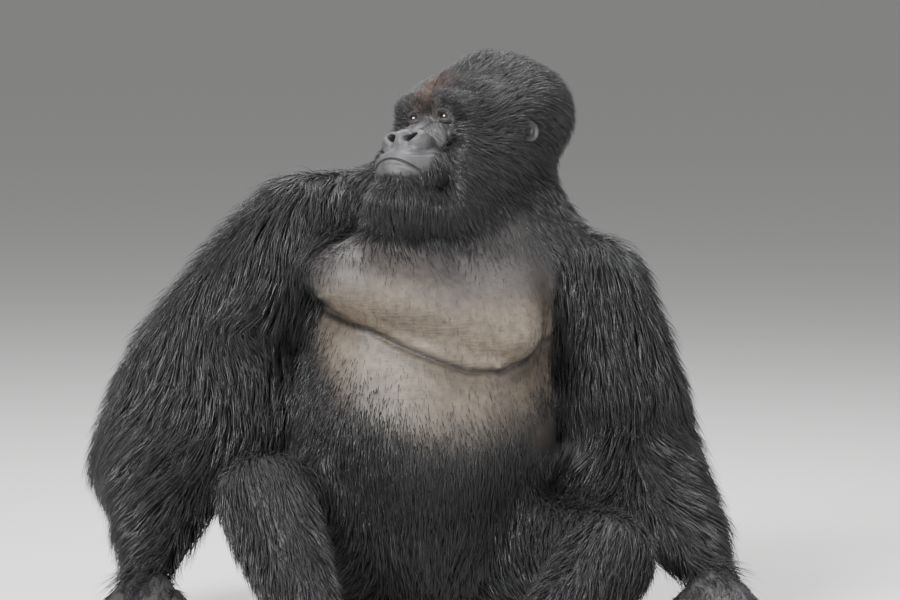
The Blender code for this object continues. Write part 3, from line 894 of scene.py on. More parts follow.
class Tree:
    """A node tree that is written down as calls, one for each node."""

    def __init__(self, tree):
        self.tree = tree

    def plug(self, socket, value):
        if isinstance(value, bpy.types.NodeSocket):
            self.tree.links.new(value, socket)
        else:
            socket.default_value = value

    def add(self, kind, inputs=None, **settings):
        node = self.tree.nodes.new(kind)
        for key, value in settings.items():
            setattr(node, key, value)
        for key, value in (inputs or {}).items():
            self.plug(node.inputs[key], value)
        return node

    def math(self, operation, *values, clamp=False):
        node = self.add("ShaderNodeMath", dict(enumerate(values)), operation=operation,
                        use_clamp=clamp)
        return node.outputs[0]

    def vector(self, operation, *values, out=0):
        keys = (0, "Scale") if operation == "SCALE" else (0, 1)
        node = self.add("ShaderNodeVectorMath", dict(zip(keys, values)),
                        operation=operation)
        return node.outputs[out]

    def mixed(self, amount, first, second, kind="RGBA"):
        """The first value where the amount is 0, and the second where it is 1."""
        node = self.add("ShaderNodeMix", data_type=kind)
        for socket, value in zip(in_use(node.inputs), (amount, first, second)):
            self.plug(socket, value)
        return in_use(node.outputs)[0]


class GeometryTree(Tree):
    """A Geometry Nodes tree with named inputs, which works on points."""

    def __init__(self, name, inputs):
        super().__init__(bpy.data.node_groups.new(name, "GeometryNodeTree"))
        self.points = None
        face = self.tree.interface
        face.new_socket("Geometry", in_out="INPUT", socket_type="NodeSocketGeometry")
        for key, (kind, value) in inputs.items():
            socket = face.new_socket(key, in_out="INPUT", socket_type=kind)
            if value is not None:
                socket.default_value = value
        face.new_socket("Geometry", in_out="OUTPUT", socket_type="NodeSocketGeometry")
        self.given = self.add("NodeGroupInput").outputs

    def attribute(self, name, kind="FLOAT"):
        node = self.add("GeometryNodeInputNamedAttribute", {"Name": name}, data_type=kind)
        return node.outputs["Attribute"]

    def store(self, geometry, name, value, kind="FLOAT", domain="POINT"):
        node = self.add("GeometryNodeStoreNamedAttribute",
                        {"Geometry": geometry, "Name": name, "Value": value},
                        data_type=kind, domain=domain)
        return node.outputs["Geometry"]

    def hold(self, name, value, kind="FLOAT"):
        """Stores a value on the points, and gives it back as an attribute."""
        self.points = self.store(self.points, name, value, kind)
        return self.attribute(name, kind)

    def random(self, low, high, seed, kind="FLOAT"):
        node = self.add("FunctionNodeRandomValue", {"Seed": seed}, data_type=kind)
        lowest, highest = in_use(node.inputs)[:2]
        lowest.default_value, highest.default_value = low, high
        return in_use(node.outputs)[0]

    def sample(self, surface, field, where):
        """A vector field's value at the place on a surface that is nearest."""
        node = self.add("GeometryNodeSampleNearestSurface",
                        {"Mesh": surface, "Value": field, "Sample Position": where},
                        data_type=VECTOR)
        return node.outputs["Value"]


# --- The coat -------------------------------------------------------------------------

LOCK_RINGS = 3
LOCK_WIDTH, LOCK_DEPTH = 0.5, 0.32       # out from its middle, as shares of its girth
LOCK_PATCH = 0.003                       # how wide a patch of the map each lock has
# How high each of a lock's bends stands off the skin, as a share of its loft.
BENDS = (0.50, 0.86, 0.96)


def lock_mesh(rings):
    """One lock: a three-sided closed spike that carries its own measures as attributes."""
    shape = bmesh.new()
    spots, faces = [], []
    for ring in range(rings):
        t = ring / rings
        girth = (0.55 + 0.45 * math.sin(math.pi * min(t * 1.6 + 0.15, 1))) * (1 - t) ** 0.55
        for corner in range(3):
            angle = math.tau * corner / 3
            spots.append((t, girth * math.cos(angle) * LOCK_WIDTH,
                          girth * math.sin(angle) * LOCK_DEPTH))
    spots.append((1.0, 0.0, 0.0))
    verts = [shape.verts.new((x, y, t * 0.01)) for t, x, y in spots]
    for ring in range(rings - 1):
        for corner in range(3):
            a, b = ring * 3 + corner, ring * 3 + (corner + 1) % 3
            faces.append((a, b, b + 3, a + 3))
    last = (rings - 1) * 3
    faces += [(last + corner, last + (corner + 1) % 3, last + 3) for corner in range(3)]
    faces.append((2, 1, 0))
    for face in faces:
        shape.faces.new([verts[index] for index in face])
    mesh = mesh_from(shape, "lock")
    mesh.shade_smooth()
    for number, name in enumerate(("along", "across", "deep")):
        keep(mesh, name, np.array([spot[number] for spot in spots]))
    return mesh


def coat_tree():
    """Grows locks from the skin: each root steps along the lie of the coat."""
    tree = GeometryTree("coat", {
        "Lock": ("NodeSocketObject", None),
        "Material": ("NodeSocketMaterial", None),
        "Region": ("NodeSocketFloat", 1.0),
        "Thickness": ("NodeSocketFloat", 1.0),
        "Length": ("NodeSocketFloat", 1.0),
        "Clump size": ("NodeSocketFloat", 0.016),
        "Clumping": ("NodeSocketFloat", 0.5),
        "Waviness": ("NodeSocketFloat", 0.25),
        "Seed": ("NodeSocketInt", 1),
    })
    skin = tree.given["Geometry"]
    density = tree.math("MULTIPLY", tree.attribute("density"), tree.given["Thickness"])
    density = tree.math("MULTIPLY", density, tree.given["Region"])
    spread = tree.add("GeometryNodeDistributePointsOnFaces",
                      {"Mesh": skin, "Density": density, "Seed": tree.given["Seed"]})
    tree.points = spread.outputs["Points"]
    place = tree.add("GeometryNodeInputPosition").outputs[0]
    root = tree.hold("root", place, VECTOR)
    up = tree.hold("up", spread.outputs["Normal"], VECTOR)
    skin_lie = tree.attribute("lie", VECTOR)
    # Slow waves turn the lie a little, and each lock turns a little more by chance.
    waves = tree.add("ShaderNodeTexNoise", {"Vector": root, "Scale": 22.0, "Detail": 1.0},
                     normalize=False)
    sway = tree.vector("SCALE", waves.outputs["Color"], tree.given["Waviness"])
    sway = tree.vector("ADD", sway, tree.random((-0.16,) * 3, (0.16,) * 3, 3, VECTOR))
    lie = tree.vector("NORMALIZE", tree.vector("ADD", skin_lie, sway))
    length = tree.math("MULTIPLY", tree.attribute("length"), tree.given["Length"])
    length = tree.math("MULTIPLY", length, tree.random(0.62, 1.18, 5))
    step = tree.hold("step", tree.math("DIVIDE", length, len(BENDS)))
    first_way = tree.hold("way", lie, VECTOR)
    loft = tree.math("MULTIPLY", tree.attribute("depth"), tree.random(0.55, 1.05, 7))
    loft = tree.hold("loft", loft)
    # Locks near each other lean towards the middle of their clump.
    scale = tree.math("DIVIDE", 1.0, tree.given["Clump size"])
    cells = tree.add("ShaderNodeTexVoronoi", {"Vector": root, "Scale": scale})
    pull = tree.vector("SUBTRACT", cells.outputs["Position"], root)
    pull = tree.hold("pull", tree.vector("SCALE", pull, tree.given["Clumping"]), VECTOR)
    # Steps over the skin, each from the last, and each raised off it.
    skin_normal = tree.add("GeometryNodeInputNormal").outputs[0]
    spot, way, curve = root, first_way, [root]
    for number, rise in enumerate(BENDS, 1):
        moved = tree.vector("ADD", spot, tree.vector("SCALE", way, step))
        spot, facing, next_lie = [tree.sample(skin, field, moved)
                                  for field in (place, skin_normal, skin_lie)]
        way = tree.vector("NORMALIZE", tree.vector("ADD", way, next_lie))
        raised = tree.vector("SCALE", facing, tree.math("MULTIPLY", loft, rise))
        gather = (number / len(BENDS)) ** 1.5
        bend = tree.vector("ADD", tree.vector("ADD", spot, raised),
                           tree.vector("SCALE", pull, gather))
        curve.append(tree.hold("c" + str(number), bend, VECTOR))
    side = tree.vector("NORMALIZE", tree.vector("CROSS_PRODUCT", up, first_way))
    turn = tree.add("ShaderNodeVectorRotate", {
        "Vector": side, "Axis": first_way, "Angle": tree.random(-0.9, 0.9, 11)})
    side = tree.hold("side", turn.outputs[0], VECTOR)
    girth = tree.math("MULTIPLY", tree.attribute("width"), tree.random(0.55, 1.25, 13))
    girth = tree.hold("girth", girth)
    tree.hold("tone", tree.random(0.0, 1.0, 17))
    root_uv = tree.hold("root_uv", tree.attribute("OFBake", VECTOR), VECTOR)
    # A lock on every root, bent along its own curve.
    model = tree.add("GeometryNodeObjectInfo", {"Object": tree.given["Lock"]})
    placed = tree.add("GeometryNodeInstanceOnPoints",
                      {"Points": tree.points, "Instance": model.outputs["Geometry"]})
    real = tree.add("GeometryNodeRealizeInstances", {"Geometry": placed.outputs[0]})
    along, across = tree.attribute("along"), tree.attribute("across")
    while len(curve) > 1:
        curve = [tree.mixed(along, first, second, "VECTOR")
                 for first, second in zip(curve, curve[1:])]
    outward = tree.vector("CROSS_PRODUCT", first_way, side)
    wide = tree.math("MULTIPLY", across, girth)
    deep = tree.math("MULTIPLY", tree.attribute("deep"), girth)
    shape = tree.vector("ADD", tree.vector("SCALE", side, wide),
                        tree.vector("SCALE", outward, deep))
    place = tree.vector("MAXIMUM", tree.vector("ADD", curve[0], shape), (-9, -9, FLOOR_GAP))
    moved = tree.add("GeometryNodeSetPosition",
                     {"Geometry": real.outputs[0], "Position": place})
    # Each lock is a small patch of the map, at its root.
    patch = tree.add("ShaderNodeCombineXYZ", {
        "X": tree.math("MULTIPLY", tree.math("SUBTRACT", along, 0.5), LOCK_PATCH),
        "Y": tree.math("MULTIPLY", across, LOCK_PATCH)})
    flat = tree.vector("ADD", root_uv, patch.outputs[0])
    mapped = tree.store(moved.outputs[0], "OFBake", flat, "FLOAT2", "CORNER")
    smooth = tree.add("GeometryNodeSetShadeSmooth", {"Geometry": mapped})
    done = tree.add("GeometryNodeSetMaterial", {
        "Geometry": smooth.outputs[0], "Material": tree.given["Material"]})
    tree.add("NodeGroupOutput", {"Geometry": done.outputs[0]})
    return tree.tree


def set_inputs(modifier, values):
    """Sets a Geometry Nodes modifier's inputs, given by name."""
    for item in modifier.node_group.interface.items_tree:
        if item.in_out == "INPUT" and item.name in values:
            value = values[item.name]
            if isinstance(value, str):
                modifier[item.identifier + "_use_attribute"] = True
                modifier[item.identifier + "_attribute_name"] = value
            else:
                modifier[item.identifier] = value


# How the locks of each piece gather: the size of a clump, how closely it gathers, and how
# wavy its lie is.
CLUMPS = {"crown": (0.010, 0.50, 0.35), "cheek": (0.010, 0.50, 0.35),
          "beard": (0.011, 0.55, 0.35), "upper_arm": (0.021, 0.88, 0.55),
          "forearm": (0.024, 0.92, 0.70), "chest_and_belly": (0.008, 0.35, 0.40)}
PLAIN_CLUMPS = (0.018, 0.72, 0.45)
# The attributes that a lock needs only while it grows.
SCRATCH = ("root", "up", "step", "way", "loft", "pull", "c1", "c2", "c3", "side", "girth",
           "root_uv", "lie", "depth", "length", "width", "density", "across", "deep")


class MakeCoat(bpy.types.Operator):
    """Grow the coat, one piece for each region of the body"""

    bl_idname = "gorilla.make_coat"
    bl_label = "Coat"

    def execute(self, context):
        settings = context.scene.gorilla
        tree = coat_tree()
        material = coat_material()
        lock = new_object("lock", lock_mesh(LOCK_RINGS))
        for number, name in enumerate(REGIONS):
            coat = new_object("coat_" + name, bpy.data.objects["skin"].data.copy())
            modifier = coat.modifiers.new("coat", "NODES")
            modifier.node_group = tree
            size, gather, wave = CLUMPS.get(part_of(name), PLAIN_CLUMPS)
            set_inputs(modifier, {
                "Lock": lock, "Material": material, "Region": "on_" + name,
                "Thickness": settings.thickness, "Length": settings.length,
                "Clump size": size, "Clumping": gather, "Waviness": wave,
                "Seed": number + 1})
            spare = coat.data
            settle(coat)
            bpy.data.meshes.remove(spare)
            for attribute in list(coat.data.attributes):
                if attribute.name in SCRATCH or attribute.name.startswith("on_"):
                    coat.data.attributes.remove(attribute)
            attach(coat, "root")
        bpy.data.objects.remove(lock)
        return {"FINISHED"}


# --- Materials ------------------------------------------------------------------------

# The colours that the settings don't hold.  A pair is a dark and a light shade.
SKIN_UNDER_COAT = ((0.010, 0.010, 0.011, 1), (0.026, 0.025, 0.026, 1))
BARE_SKIN = (0.042, 0.039, 0.040, 1)
PALE_CHEST = (0.218, 0.174, 0.130, 1)
PALE_FACE = (0.105, 0.103, 0.109, 1)
# Painted shade: the near-black of the nostrils, the mouth, the breast fold and the ear's
# bowl.
HOLLOW_SHADE_COLOUR = (0.004, 0.003, 0.003, 1)
MOTTLE = (0.020, 0.018, 0.018, 1)
HAIR_TIP = (0.040, 0.039, 0.040, 1)
HAIR_STREAK = (0.0035, 0.0035, 0.004, 1)
SHEEN = (0.90, 0.94, 1.0, 1)
PUPIL = (0.001, 0.001, 0.001, 1)
IRIS = ((0.007, 0.003, 0.0015, 1), (0.028, 0.012, 0.005, 1))
IRIS_RIM = (0.004, 0.002, 0.0015, 1)
EYE_WHITE = ((0.022, 0.013, 0.010, 1), (0.10, 0.075, 0.062, 1))
NAIL = ((0.012, 0.011, 0.010, 1), (0.045, 0.040, 0.035, 1))
FLOOR = (0.72, 0.72, 0.71, 1)
# Where the colours of the eye meet, as an angle off the line of sight, and how softly.
PUPIL_EDGE, RIM_EDGE = (0.24, 0.02), (0.58, 0.04)
IRIS_EDGE, WHITE_EDGE = (0.66, 0.04), (1.05, 0.20)


class Material(Tree):
    """A material with one Principled shader."""

    def __init__(self, name):
        self.material = bpy.data.materials.new(name)
        self.material.use_nodes = True
        super().__init__(self.material.node_tree)
        self.shader = self.tree.nodes["Principled BSDF"]

    def feed(self, **values):
        for key, value in values.items():
            self.plug(self.shader.inputs[key.replace("_", " ").title()], value)

    def attribute(self, name):
        return self.add("ShaderNodeAttribute", attribute_name=name).outputs["Fac"]

    def marked(self, colour):
        """A colour with the brown and the silver laid over it."""
        node = self.add("ShaderNodeGroup", node_tree=markings_group())
        self.plug(node.inputs["Color"], colour)
        return node.outputs["Color"]


def markings_group():
    """Turns a colour brown on the forehead and silver on the back."""
    found = bpy.data.node_groups.get("markings")
    if found:
        return found
    settings = bpy.context.scene.gorilla
    group = Tree(bpy.data.node_groups.new("markings", "ShaderNodeTree"))
    face = group.tree.interface
    for key, value in (("Color", (0.02, 0.02, 0.02)), ("Brown", settings.brown),
                       ("Silver", settings.silver)):
        socket = face.new_socket(key, in_out="INPUT", socket_type="NodeSocketColor")
        socket.default_value = (*value, 1)
    face.new_socket("Color", in_out="OUTPUT", socket_type="NodeSocketColor")
    given = group.add("NodeGroupInput").outputs
    place = group.add("ShaderNodeTexCoord").outputs["Object"]
    breakup = group.add("ShaderNodeTexNoise", {"Vector": place, "Scale": 45.0, "Detail": 4.0})
    breakup = group.math("MULTIPLY_ADD", breakup.outputs["Fac"], 1.8, -0.05)
    colour = given["Color"]
    for name in ("Brown", "Silver"):
        amount = group.add("ShaderNodeAttribute", attribute_name=name.lower()).outputs["Fac"]
        amount = group.math("MULTIPLY", amount, breakup, clamp=True)
        colour = group.mixed(amount, colour, given[name])
    group.add("NodeGroupOutput", {"Color": colour})
    return group.tree


def grained(tree, scale, detail=6.0, stretch=(1, 1, 1)):
    """Noise on the surface, which may be stretched."""
    place = tree.add("ShaderNodeTexCoord").outputs["Object"]
    mapped = tree.add("ShaderNodeMapping", {"Vector": place, "Scale": stretch})
    noise = tree.add("ShaderNodeTexNoise", {
        "Vector": mapped.outputs[0], "Scale": scale, "Detail": detail})
    return noise.outputs["Fac"]


def skin_material():
    """Grey-black skin: browner and paler on the chest, ashy and creased on the face."""
    settings = bpy.context.scene.gorilla
    skin = Material("skin")
    colour = skin.mixed(grained(skin, 60.0), *SKIN_UNDER_COAT)
    chest = skin.mixed(grained(skin, 9.0), (*settings.chest, 1), PALE_CHEST)
    face = skin.mixed(grained(skin, 40.0), (*settings.face, 1), PALE_FACE)
    # Bare skin, face and chest go over the skin's colour, then painted shade in hollows and
    # creases.
    for name, shade in (("bare", BARE_SKIN), ("face", face), ("chest", chest),
                        ("hollow", HOLLOW_SHADE_COLOUR)):
        colour = skin.mixed(skin.attribute(name), colour, shade)
    mottles = skin.math("MULTIPLY_ADD", grained(skin, 75.0, 7.0), 2.6, -0.95, clamp=True)
    mottles = skin.math("MULTIPLY", mottles, 0.55)
    colour = skin.mixed(mottles, colour, MOTTLE)
    skin.feed(base_color=skin.marked(colour))
    place = skin.add("ShaderNodeTexCoord").outputs["Object"]
    pores = skin.add("ShaderNodeTexVoronoi", {"Vector": place, "Scale": 400.0},
                     feature="DISTANCE_TO_EDGE")
    cracks = skin.math("MULTIPLY", pores.outputs["Distance"], 1.1, clamp=True)
    creases = skin.math("MULTIPLY", grained(skin, 130.0, 5.0, (0.6, 0.6, 1.6)), 1.3)
    lines = skin.math("MULTIPLY", grained(skin, 150.0, 3.0, (0.2, 0.2, 1.8)), 2.4)
    lines = skin.math("MULTIPLY", lines, skin.attribute("chest"))
    height = skin.math("ADD", skin.math("ADD", cracks, creases), lines)
    bump = skin.add("ShaderNodeBump", {"Height": height, "Strength": 0.5, "Distance": 0.0009})
    rough = skin.math("MULTIPLY_ADD", grained(skin, 30.0), 0.18, 0.42)
    skin.feed(roughness=rough, normal=bump.outputs[0])
    skin.shader.inputs["Specular IOR Level"].default_value = 0.35
    return skin.material


def coat_material():
    """Near-black hair with a cool sheen, browner or silver where the coat is marked."""
    settings = bpy.context.scene.gorilla
    coat = Material("coat")
    colour = coat.mixed(coat.attribute("tone"), (*settings.coat_dark, 1),
                        (*settings.coat_light, 1))
    colour = coat.mixed(coat.attribute("along"), colour, HAIR_TIP)
    streaks = coat.math("MULTIPLY_ADD", grained(coat, 55.0, 2.0), -1.6, 1.25)
    colour = coat.mixed(streaks, colour, HAIR_STREAK)
    coat.feed(base_color=coat.marked(colour), roughness=0.36, sheen_weight=0.05,
              sheen_roughness=0.45, sheen_tint=SHEEN)
    coat.shader.inputs["Specular IOR Level"].default_value = 0.5
    return coat.material


def eye_material(name, centre):
    """A wet brown eye: the iris and pupil lie round the line of sight."""
    eye = Material(name)
    place = eye.add("ShaderNodeTexCoord").outputs["Object"]
    outward = eye.vector("SUBTRACT", place, tuple(centre))
    ahead = eye.vector("DOT_PRODUCT", eye.vector("NORMALIZE", outward), tuple(GAZE), out=1)
    angle = eye.math("ARCCOSINE", eye.math("MINIMUM", ahead, 1.0))
    iris = eye.mixed(grained(eye, 900.0, 3.0), *IRIS)

    def past(edge, soft):
        spread = eye.math("SUBTRACT", angle, edge - soft)
        return eye.math("DIVIDE", spread, 2 * soft, clamp=True)

    colour = eye.mixed(past(*PUPIL_EDGE), PUPIL, iris)
    colour = eye.mixed(past(*RIM_EDGE), colour, IRIS_RIM)
    colour = eye.mixed(past(*IRIS_EDGE), colour, eye.mixed(past(*WHITE_EDGE), *EYE_WHITE))
    eye.feed(base_color=colour, roughness=0.12, coat_weight=1.0, coat_roughness=0.02)
    return eye.material


def nail_material():
    nail = Material("nail")
    colour = nail.mixed(grained(nail, 200.0, 4.0, (1, 4, 1)), *NAIL)
    bump = nail.add("ShaderNodeBump", {
        "Height": grained(nail, 900.0, 2.0, (4, 1, 1)), "Strength": 0.2,
        "Distance": 0.0005})
    nail.feed(base_color=colour, roughness=0.32, normal=bump.outputs[0])
    return nail.material


# --- Eyes, ears and nails -------------------------------------------------------------

GAZE = (HEAD_TURN.to_3x3() @ Vector((-0.12, -1.0, 0.0))).normalized()
CORNEA_ANGLE, CORNEA_BULGE = 0.62, 0.075


def eye_mesh(centre):
    """A ball with a cornea that bulges along the line of sight."""
    shape = bmesh.new()
    bmesh.ops.create_uvsphere(shape, u_segments=48, v_segments=32, radius=1)
    turn = GAZE.to_track_quat("Z", "Y").to_matrix()
    for vert in shape.verts:
        angle = math.acos(max(-1, min(1, vert.co.z)))
        slope = math.cos(min(angle / CORNEA_ANGLE, 1) * math.pi / 2)
        bulge = CORNEA_BULGE * max(0, slope) ** 1.5
        vert.co = centre + turn @ (vert.co * EYE_RADIUS * (1 + bulge))
    return mesh_from(shape, "eye")


class MakeEyes(bpy.types.Operator):
    """Set the eyeballs in their sockets"""

    bl_idname = "gorilla.make_eyes"
    bl_label = "Eyes"

    def execute(self, context):
        for side, _ in SIDES:
            node = "eye_" + side
            centre = middle(node)
            ball = new_object("eyeball_" + side, eye_mesh(centre))
            ball.data.shade_smooth()
            ball.data.materials.append(eye_material("eye_" + side, centre))
            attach(ball, "root")
            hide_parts(node)
        return {"FINISHED"}


EAR_TALL, EAR_LONG = 0.0235, 0.0165      # half-sizes
EAR_RINGS, EAR_SPOKES = 14, 48
EAR_BACK = 0.97                          # the back's outline, as a share of the front's


def ear_mesh(node, side):
    """A cupped ear: a rolled rim, an inner fold and a bowl, closed at the back."""
    centre = middle(node)
    turn = HEAD_TURN.to_3x3()
    shape = bmesh.new()
    hollow = shape.verts.layers.float.new("hollow")
    front, back = [], []

    def spot(share, angle, lift):
        outline = 1 + 0.10 * math.cos(angle) - 0.10 * math.cos(2 * angle + 0.4)
        up = EAR_TALL * share * outline * math.cos(angle)
        backward = EAR_LONG * share * outline * math.sin(angle)
        flare = 0.55 * backward - 0.001
        return centre + turn @ Vector(((lift + flare) * side, backward, up))

    def height(share, angle):
        rim = 0.0075 * bell(share - 0.86, 0.13)
        rim *= 0.55 + 0.45 * math.sin(angle * 0.5 + 0.6) ** 2
        fold = 0.0038 * bell(share - 0.52 - 0.08 * math.cos(angle), 0.10)
        fold *= max(0, math.sin(angle)) ** 0.5
        tragus = 0.0050 * bell(share - 0.50, 0.2) * max(0, -math.sin(angle)) ** 3
        bowl = -0.0060 * bell(share, 0.42)
        return rim + fold + tragus + bowl

    angles = [math.tau * spoke / EAR_SPOKES for spoke in range(EAR_SPOKES)]
    for ring in range(1, EAR_RINGS + 1):
        share = ring / EAR_RINGS
        front.append([shape.verts.new(spot(share, a, height(share, a))) for a in angles])
        # Painted shade in the bowl, darkest at its middle.
        for vert in front[-1]:
            vert[hollow] = 0.95 * max(0.5, 1 - (share / 0.72) ** 3)
        rear = -0.0035 - 0.004 * (1 - share * share)
        back.append([shape.verts.new(spot(share * EAR_BACK, a, rear)) for a in angles])
    front_middle = shape.verts.new(spot(0, 0, height(0, 0)))
    front_middle[hollow] = 1
    back_middle = shape.verts.new(spot(0, 0, -0.0075))
    for spoke in range(EAR_SPOKES):
        after = (spoke + 1) % EAR_SPOKES
        shape.faces.new((front_middle, front[0][spoke], front[0][after]))
        shape.faces.new((back_middle, back[0][after], back[0][spoke]))
        for inner, outer in zip(front, front[1:]):
            shape.faces.new((inner[spoke], outer[spoke], outer[after], inner[after]))
        for inner, outer in zip(back, back[1:]):
            shape.faces.new((inner[after], outer[after], outer[spoke], inner[spoke]))
        shape.faces.new((front[-1][spoke], back[-1][spoke], back[-1][after],
                         front[-1][after]))
    bmesh.ops.recalc_face_normals(shape, faces=shape.faces)
    return mesh_from(shape, "ear")


class MakeEars(bpy.types.Operator):
    """Set the ears on the head"""

    bl_idname = "gorilla.make_ears"
    bl_label = "Ears"

    def execute(self, context):
        for side, sign in SIDES:
            node = "ear_" + side
            ear = new_object("cupped_" + node, ear_mesh(node, sign))
            ear.data.shade_smooth()
            for name in ("bare", "face"):
                keep(ear.data, name, np.full(len(ear.data.vertices), 0.16))
            ear.data.materials.append(bpy.data.materials["skin"])
            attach(ear, "root")
            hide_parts(node)
        return {"FINISHED"}


NAIL_GRID = 9
NAIL_HALF_WIDTH, NAIL_HALF_LENGTH = 0.5, 0.62           # as shares of its size
# How far the top of a nail stands off the skin, how much more its tip does, and how far its
# underside lies under the skin.
NAIL_LIFT, NAIL_TIP_LIFT, NAIL_ROOT = 0.0011, 0.0004, 0.0012
BIG_TOE_NAIL, TOE_NAIL, FINGER_NAIL, THUMB_NAIL = 0.017, 0.012, 0.014, 0.013


def nail_on(shape, tree, aim, tip_way, size):
    """A curved nail, laid on the surface in tree at the point nearest to aim."""
    spot, normal, _, _ = tree.find_nearest(aim)
    along = (tip_way - normal * tip_way.dot(normal)).normalized()
    across = along.cross(normal)
    last = NAIL_GRID - 1
    top, under = [], []
    for row in range(NAIL_GRID):
        v = -1 + 2 * row / last
        for column in range(NAIL_GRID):
            u = -1 + 2 * column / last
            wide = u * math.sqrt(1 - 0.35 * v * v)
            tall = v * math.sqrt(1 - 0.30 * u * u)
            place = (spot + across * wide * size * NAIL_HALF_WIDTH
                     + along * tall * size * NAIL_HALF_LENGTH)
            base = tree.find_nearest(place)[0]
            lift = NAIL_LIFT + NAIL_TIP_LIFT * v
            top.append(shape.verts.new(base + normal * lift))
            under.append(shape.verts.new(base - normal * NAIL_ROOT))
    for row in range(last):
        for column in range(last):
            a = row * NAIL_GRID + column
            quad = (a, a + 1, a + 1 + NAIL_GRID, a + NAIL_GRID)
            shape.faces.new([top[i] for i in quad])
            shape.faces.new([under[i] for i in reversed(quad)])
    border = list(range(last))
    border += [number * NAIL_GRID + last for number in range(last)]
    border += [NAIL_GRID * NAIL_GRID - 1 - number for number in range(last)]
    border += [(last - number) * NAIL_GRID for number in range(last)]
    for a, b in zip(border, border[1:] + border[:1]):
        shape.faces.new((top[b], top[a], under[a], under[b]))


class MakeNails(bpy.types.Operator):
    """Lay a nail on each finger and toe"""

    bl_idname = "gorilla.make_nails"
    bl_label = "Nails"

    def execute(self, context):
        surface = bpy.data.objects["skin"].data
        tree = BVHTree.FromPolygons([vert.co for vert in surface.vertices],
                                    [tuple(face.vertices) for face in surface.polygons])
        shape = bmesh.new()
        for side, sign in SIDES:
            for part in TOES:
                low, high = map(Vector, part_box(part + "_" + side))
                size = BIG_TOE_NAIL if part == "big_toe" else TOE_NAIL
                aim = Vector(((low.x + high.x) / 2, low.y + 0.004, high.z))
                nail_on(shape, tree, aim, Vector((0.1 * sign, -1, -0.3)), size)
            for part in FINGERS[1:]:
                low, high = map(Vector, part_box(part + "_" + side))
                aim = Vector(((low.x + high.x) / 2, high.y + 0.004, low.z + 0.022))
                nail_on(shape, tree, aim, Vector((0, 0.3, 1)), FINGER_NAIL)
            low, high = map(Vector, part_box("thumb_" + side))
            aim = Vector(((low.x + high.x) / 2, low.y, low.z + 0.012))
            nail_on(shape, tree, aim, Vector((-0.2 * sign, -0.3, -1)), THUMB_NAIL)
        bmesh.ops.recalc_face_normals(shape, faces=shape.faces)
        nails = new_object("nails", mesh_from(shape, "nails"))
        nails.data.shade_smooth()
        nails.data.materials.append(nail_material())
        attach(nails, "root")
        return {"FINISHED"}


# --- The stage ------------------------------------------------------------------------

# The lamps: where each one stands, the height it is aimed at, its width and its power.
LAMPS = {"key": ((-2.2, -3.2, 3.6), 0.6, 1.8, 650), "fill": ((3.2, -2.6, 1.8), 0.6, 2.5, 110),
         "top": ((0.3, 1.2, 3.6), 0.7, 2.0, 190)}
SKY = 0.30                               # the strength of the white sky
SENSOR, LENS = 36, 157.3                 # millimetres
CAMERA_DISTANCE = 7
CAMERA_RISE = math.radians(5)            # how far above its aim the camera stands
CAMERA_AIM = (0.0356, 0, 0.591)


def lamp(name, place, aim, size, power):
    light = bpy.data.lights.new(name, "AREA")
    light.size = size
    light.energy = power
    obj = new_object(name, light)
    obj.location = place
    obj.rotation_euler = (place - aim).to_track_quat("Z", "Y").to_euler()


class MakeStage(bpy.types.Operator):
    """Add the floor, the lights and the camera"""

    bl_idname = "gorilla.make_stage"
    bl_label = "Stage"

    def execute(self, context):
        scene = context.scene
        shape = bmesh.new()
        bmesh.ops.create_grid(shape, x_segments=1, y_segments=1, size=300)
        floor = new_object("floor", mesh_from(shape, "floor"))
        pale = Material("pale_floor")
        pale.feed(base_color=FLOOR, roughness=0.9)
        floor.data.materials.append(pale.material)
        world = bpy.data.worlds.new("studio")
        world.use_nodes = True
        sky = world.node_tree.nodes["Background"].inputs
        sky["Color"].default_value = (1, 1, 1, 1)
        sky["Strength"].default_value = SKY
        scene.world = world
        for name, (place, height, size, power) in LAMPS.items():
            lamp(name, at(*place), at(0, 0, height), size, power)
        camera = bpy.data.cameras.new("camera")
        camera.sensor_width, camera.lens = SENSOR, LENS
        viewer = new_object("camera", camera)
        back = Vector((0, -math.cos(CAMERA_RISE), math.sin(CAMERA_RISE)))
        viewer.location = at(*CAMERA_AIM) + back * CAMERA_DISTANCE
        viewer.rotation_euler = back.to_track_quat("Z", "Y").to_euler()
        scene.camera = viewer
        return {"FINISHED"}


# --- The add-on -----------------------------------------------------------------------


def number(name, description, default, **limits):
    return bpy.props.FloatProperty(name=name, description=description, default=default,
                                   **limits)


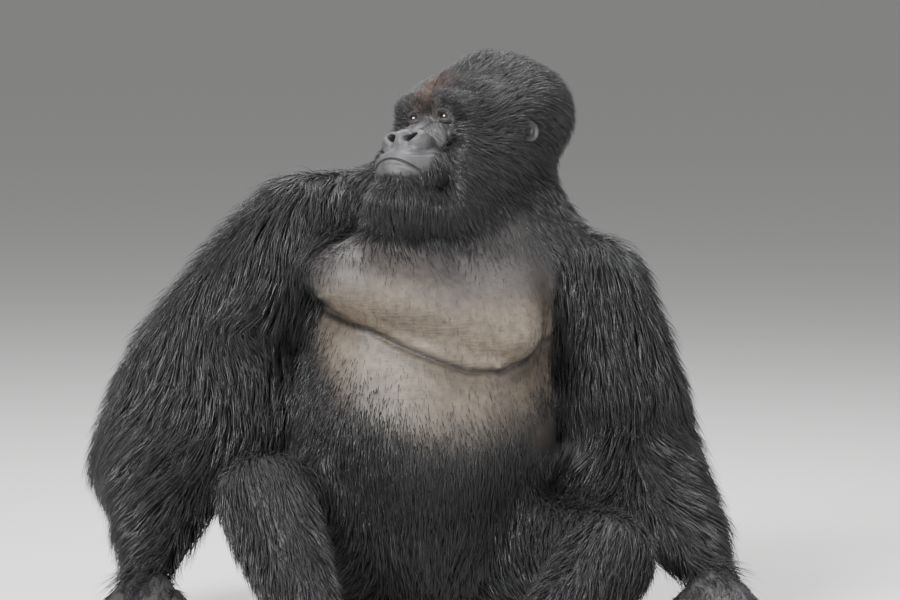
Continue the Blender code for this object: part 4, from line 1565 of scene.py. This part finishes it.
def paint(name, description, default):
    return bpy.props.FloatVectorProperty(name=name, description=description, size=3,
                                         subtype="COLOR", default=default, min=0, max=1)


class GorillaSettings(bpy.types.PropertyGroup):
    """The sizes and colours that a user would change"""

    thickness: number("Thickness", "How close the locks stand, 1 being a full coat", 1.0,
                      min=0.05, max=1.2, subtype="FACTOR")
    length: number("Length", "How long the locks are, 1 being life", 1.0,
                   min=0.2, max=1.2, subtype="FACTOR")
    coat_dark: paint("Dark hair", "The darkest locks", (0.002, 0.002, 0.0025))
    coat_light: paint("Light hair", "The lightest locks", (0.034, 0.034, 0.035))
    brown: paint("Brown hair", "The patch on the forehead", (0.075, 0.040, 0.026))
    silver: paint("Silver hair", "The saddle on the back", (0.30, 0.30, 0.31))
    chest: paint("Chest", "The bare skin of the chest", (0.062, 0.049, 0.037))
    face: paint("Face", "The bare skin of the face", (0.050, 0.049, 0.053))


class GorillaPanel(bpy.types.Panel):
    """Lists the sizes, the colours and the steps"""

    bl_idname = "VIEW3D_PT_gorilla"
    bl_label = "Gorilla"
    bl_space_type = "VIEW_3D"
    bl_region_type = "UI"
    bl_category = "Gorilla"

    def draw(self, context):
        for name in GorillaSettings.__annotations__:
            self.layout.prop(context.scene.gorilla, name)
        for step in STEPS:
            self.layout.operator(step.bl_idname)


STEPS = (MakeSkin, MakeCoat, MakeEyes, MakeEars, MakeNails, MakeStage)
CLASSES = (GorillaSettings, *STEPS, GorillaPanel)


def register():
    for cls in CLASSES:
        bpy.utils.register_class(cls)
    bpy.types.Scene.gorilla = bpy.props.PointerProperty(type=GorillaSettings)


def unregister():
    del bpy.types.Scene.gorilla
    for cls in reversed(CLASSES):
        bpy.utils.unregister_class(cls)


def main():
    register()
    bpy.ops.gorilla.make_skin()
    bpy.ops.gorilla.make_coat()
    bpy.ops.gorilla.make_eyes()
    bpy.ops.gorilla.make_ears()
    bpy.ops.gorilla.make_nails()
    bpy.ops.gorilla.make_stage()
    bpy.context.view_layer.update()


if __name__ == "__main__":
    main()
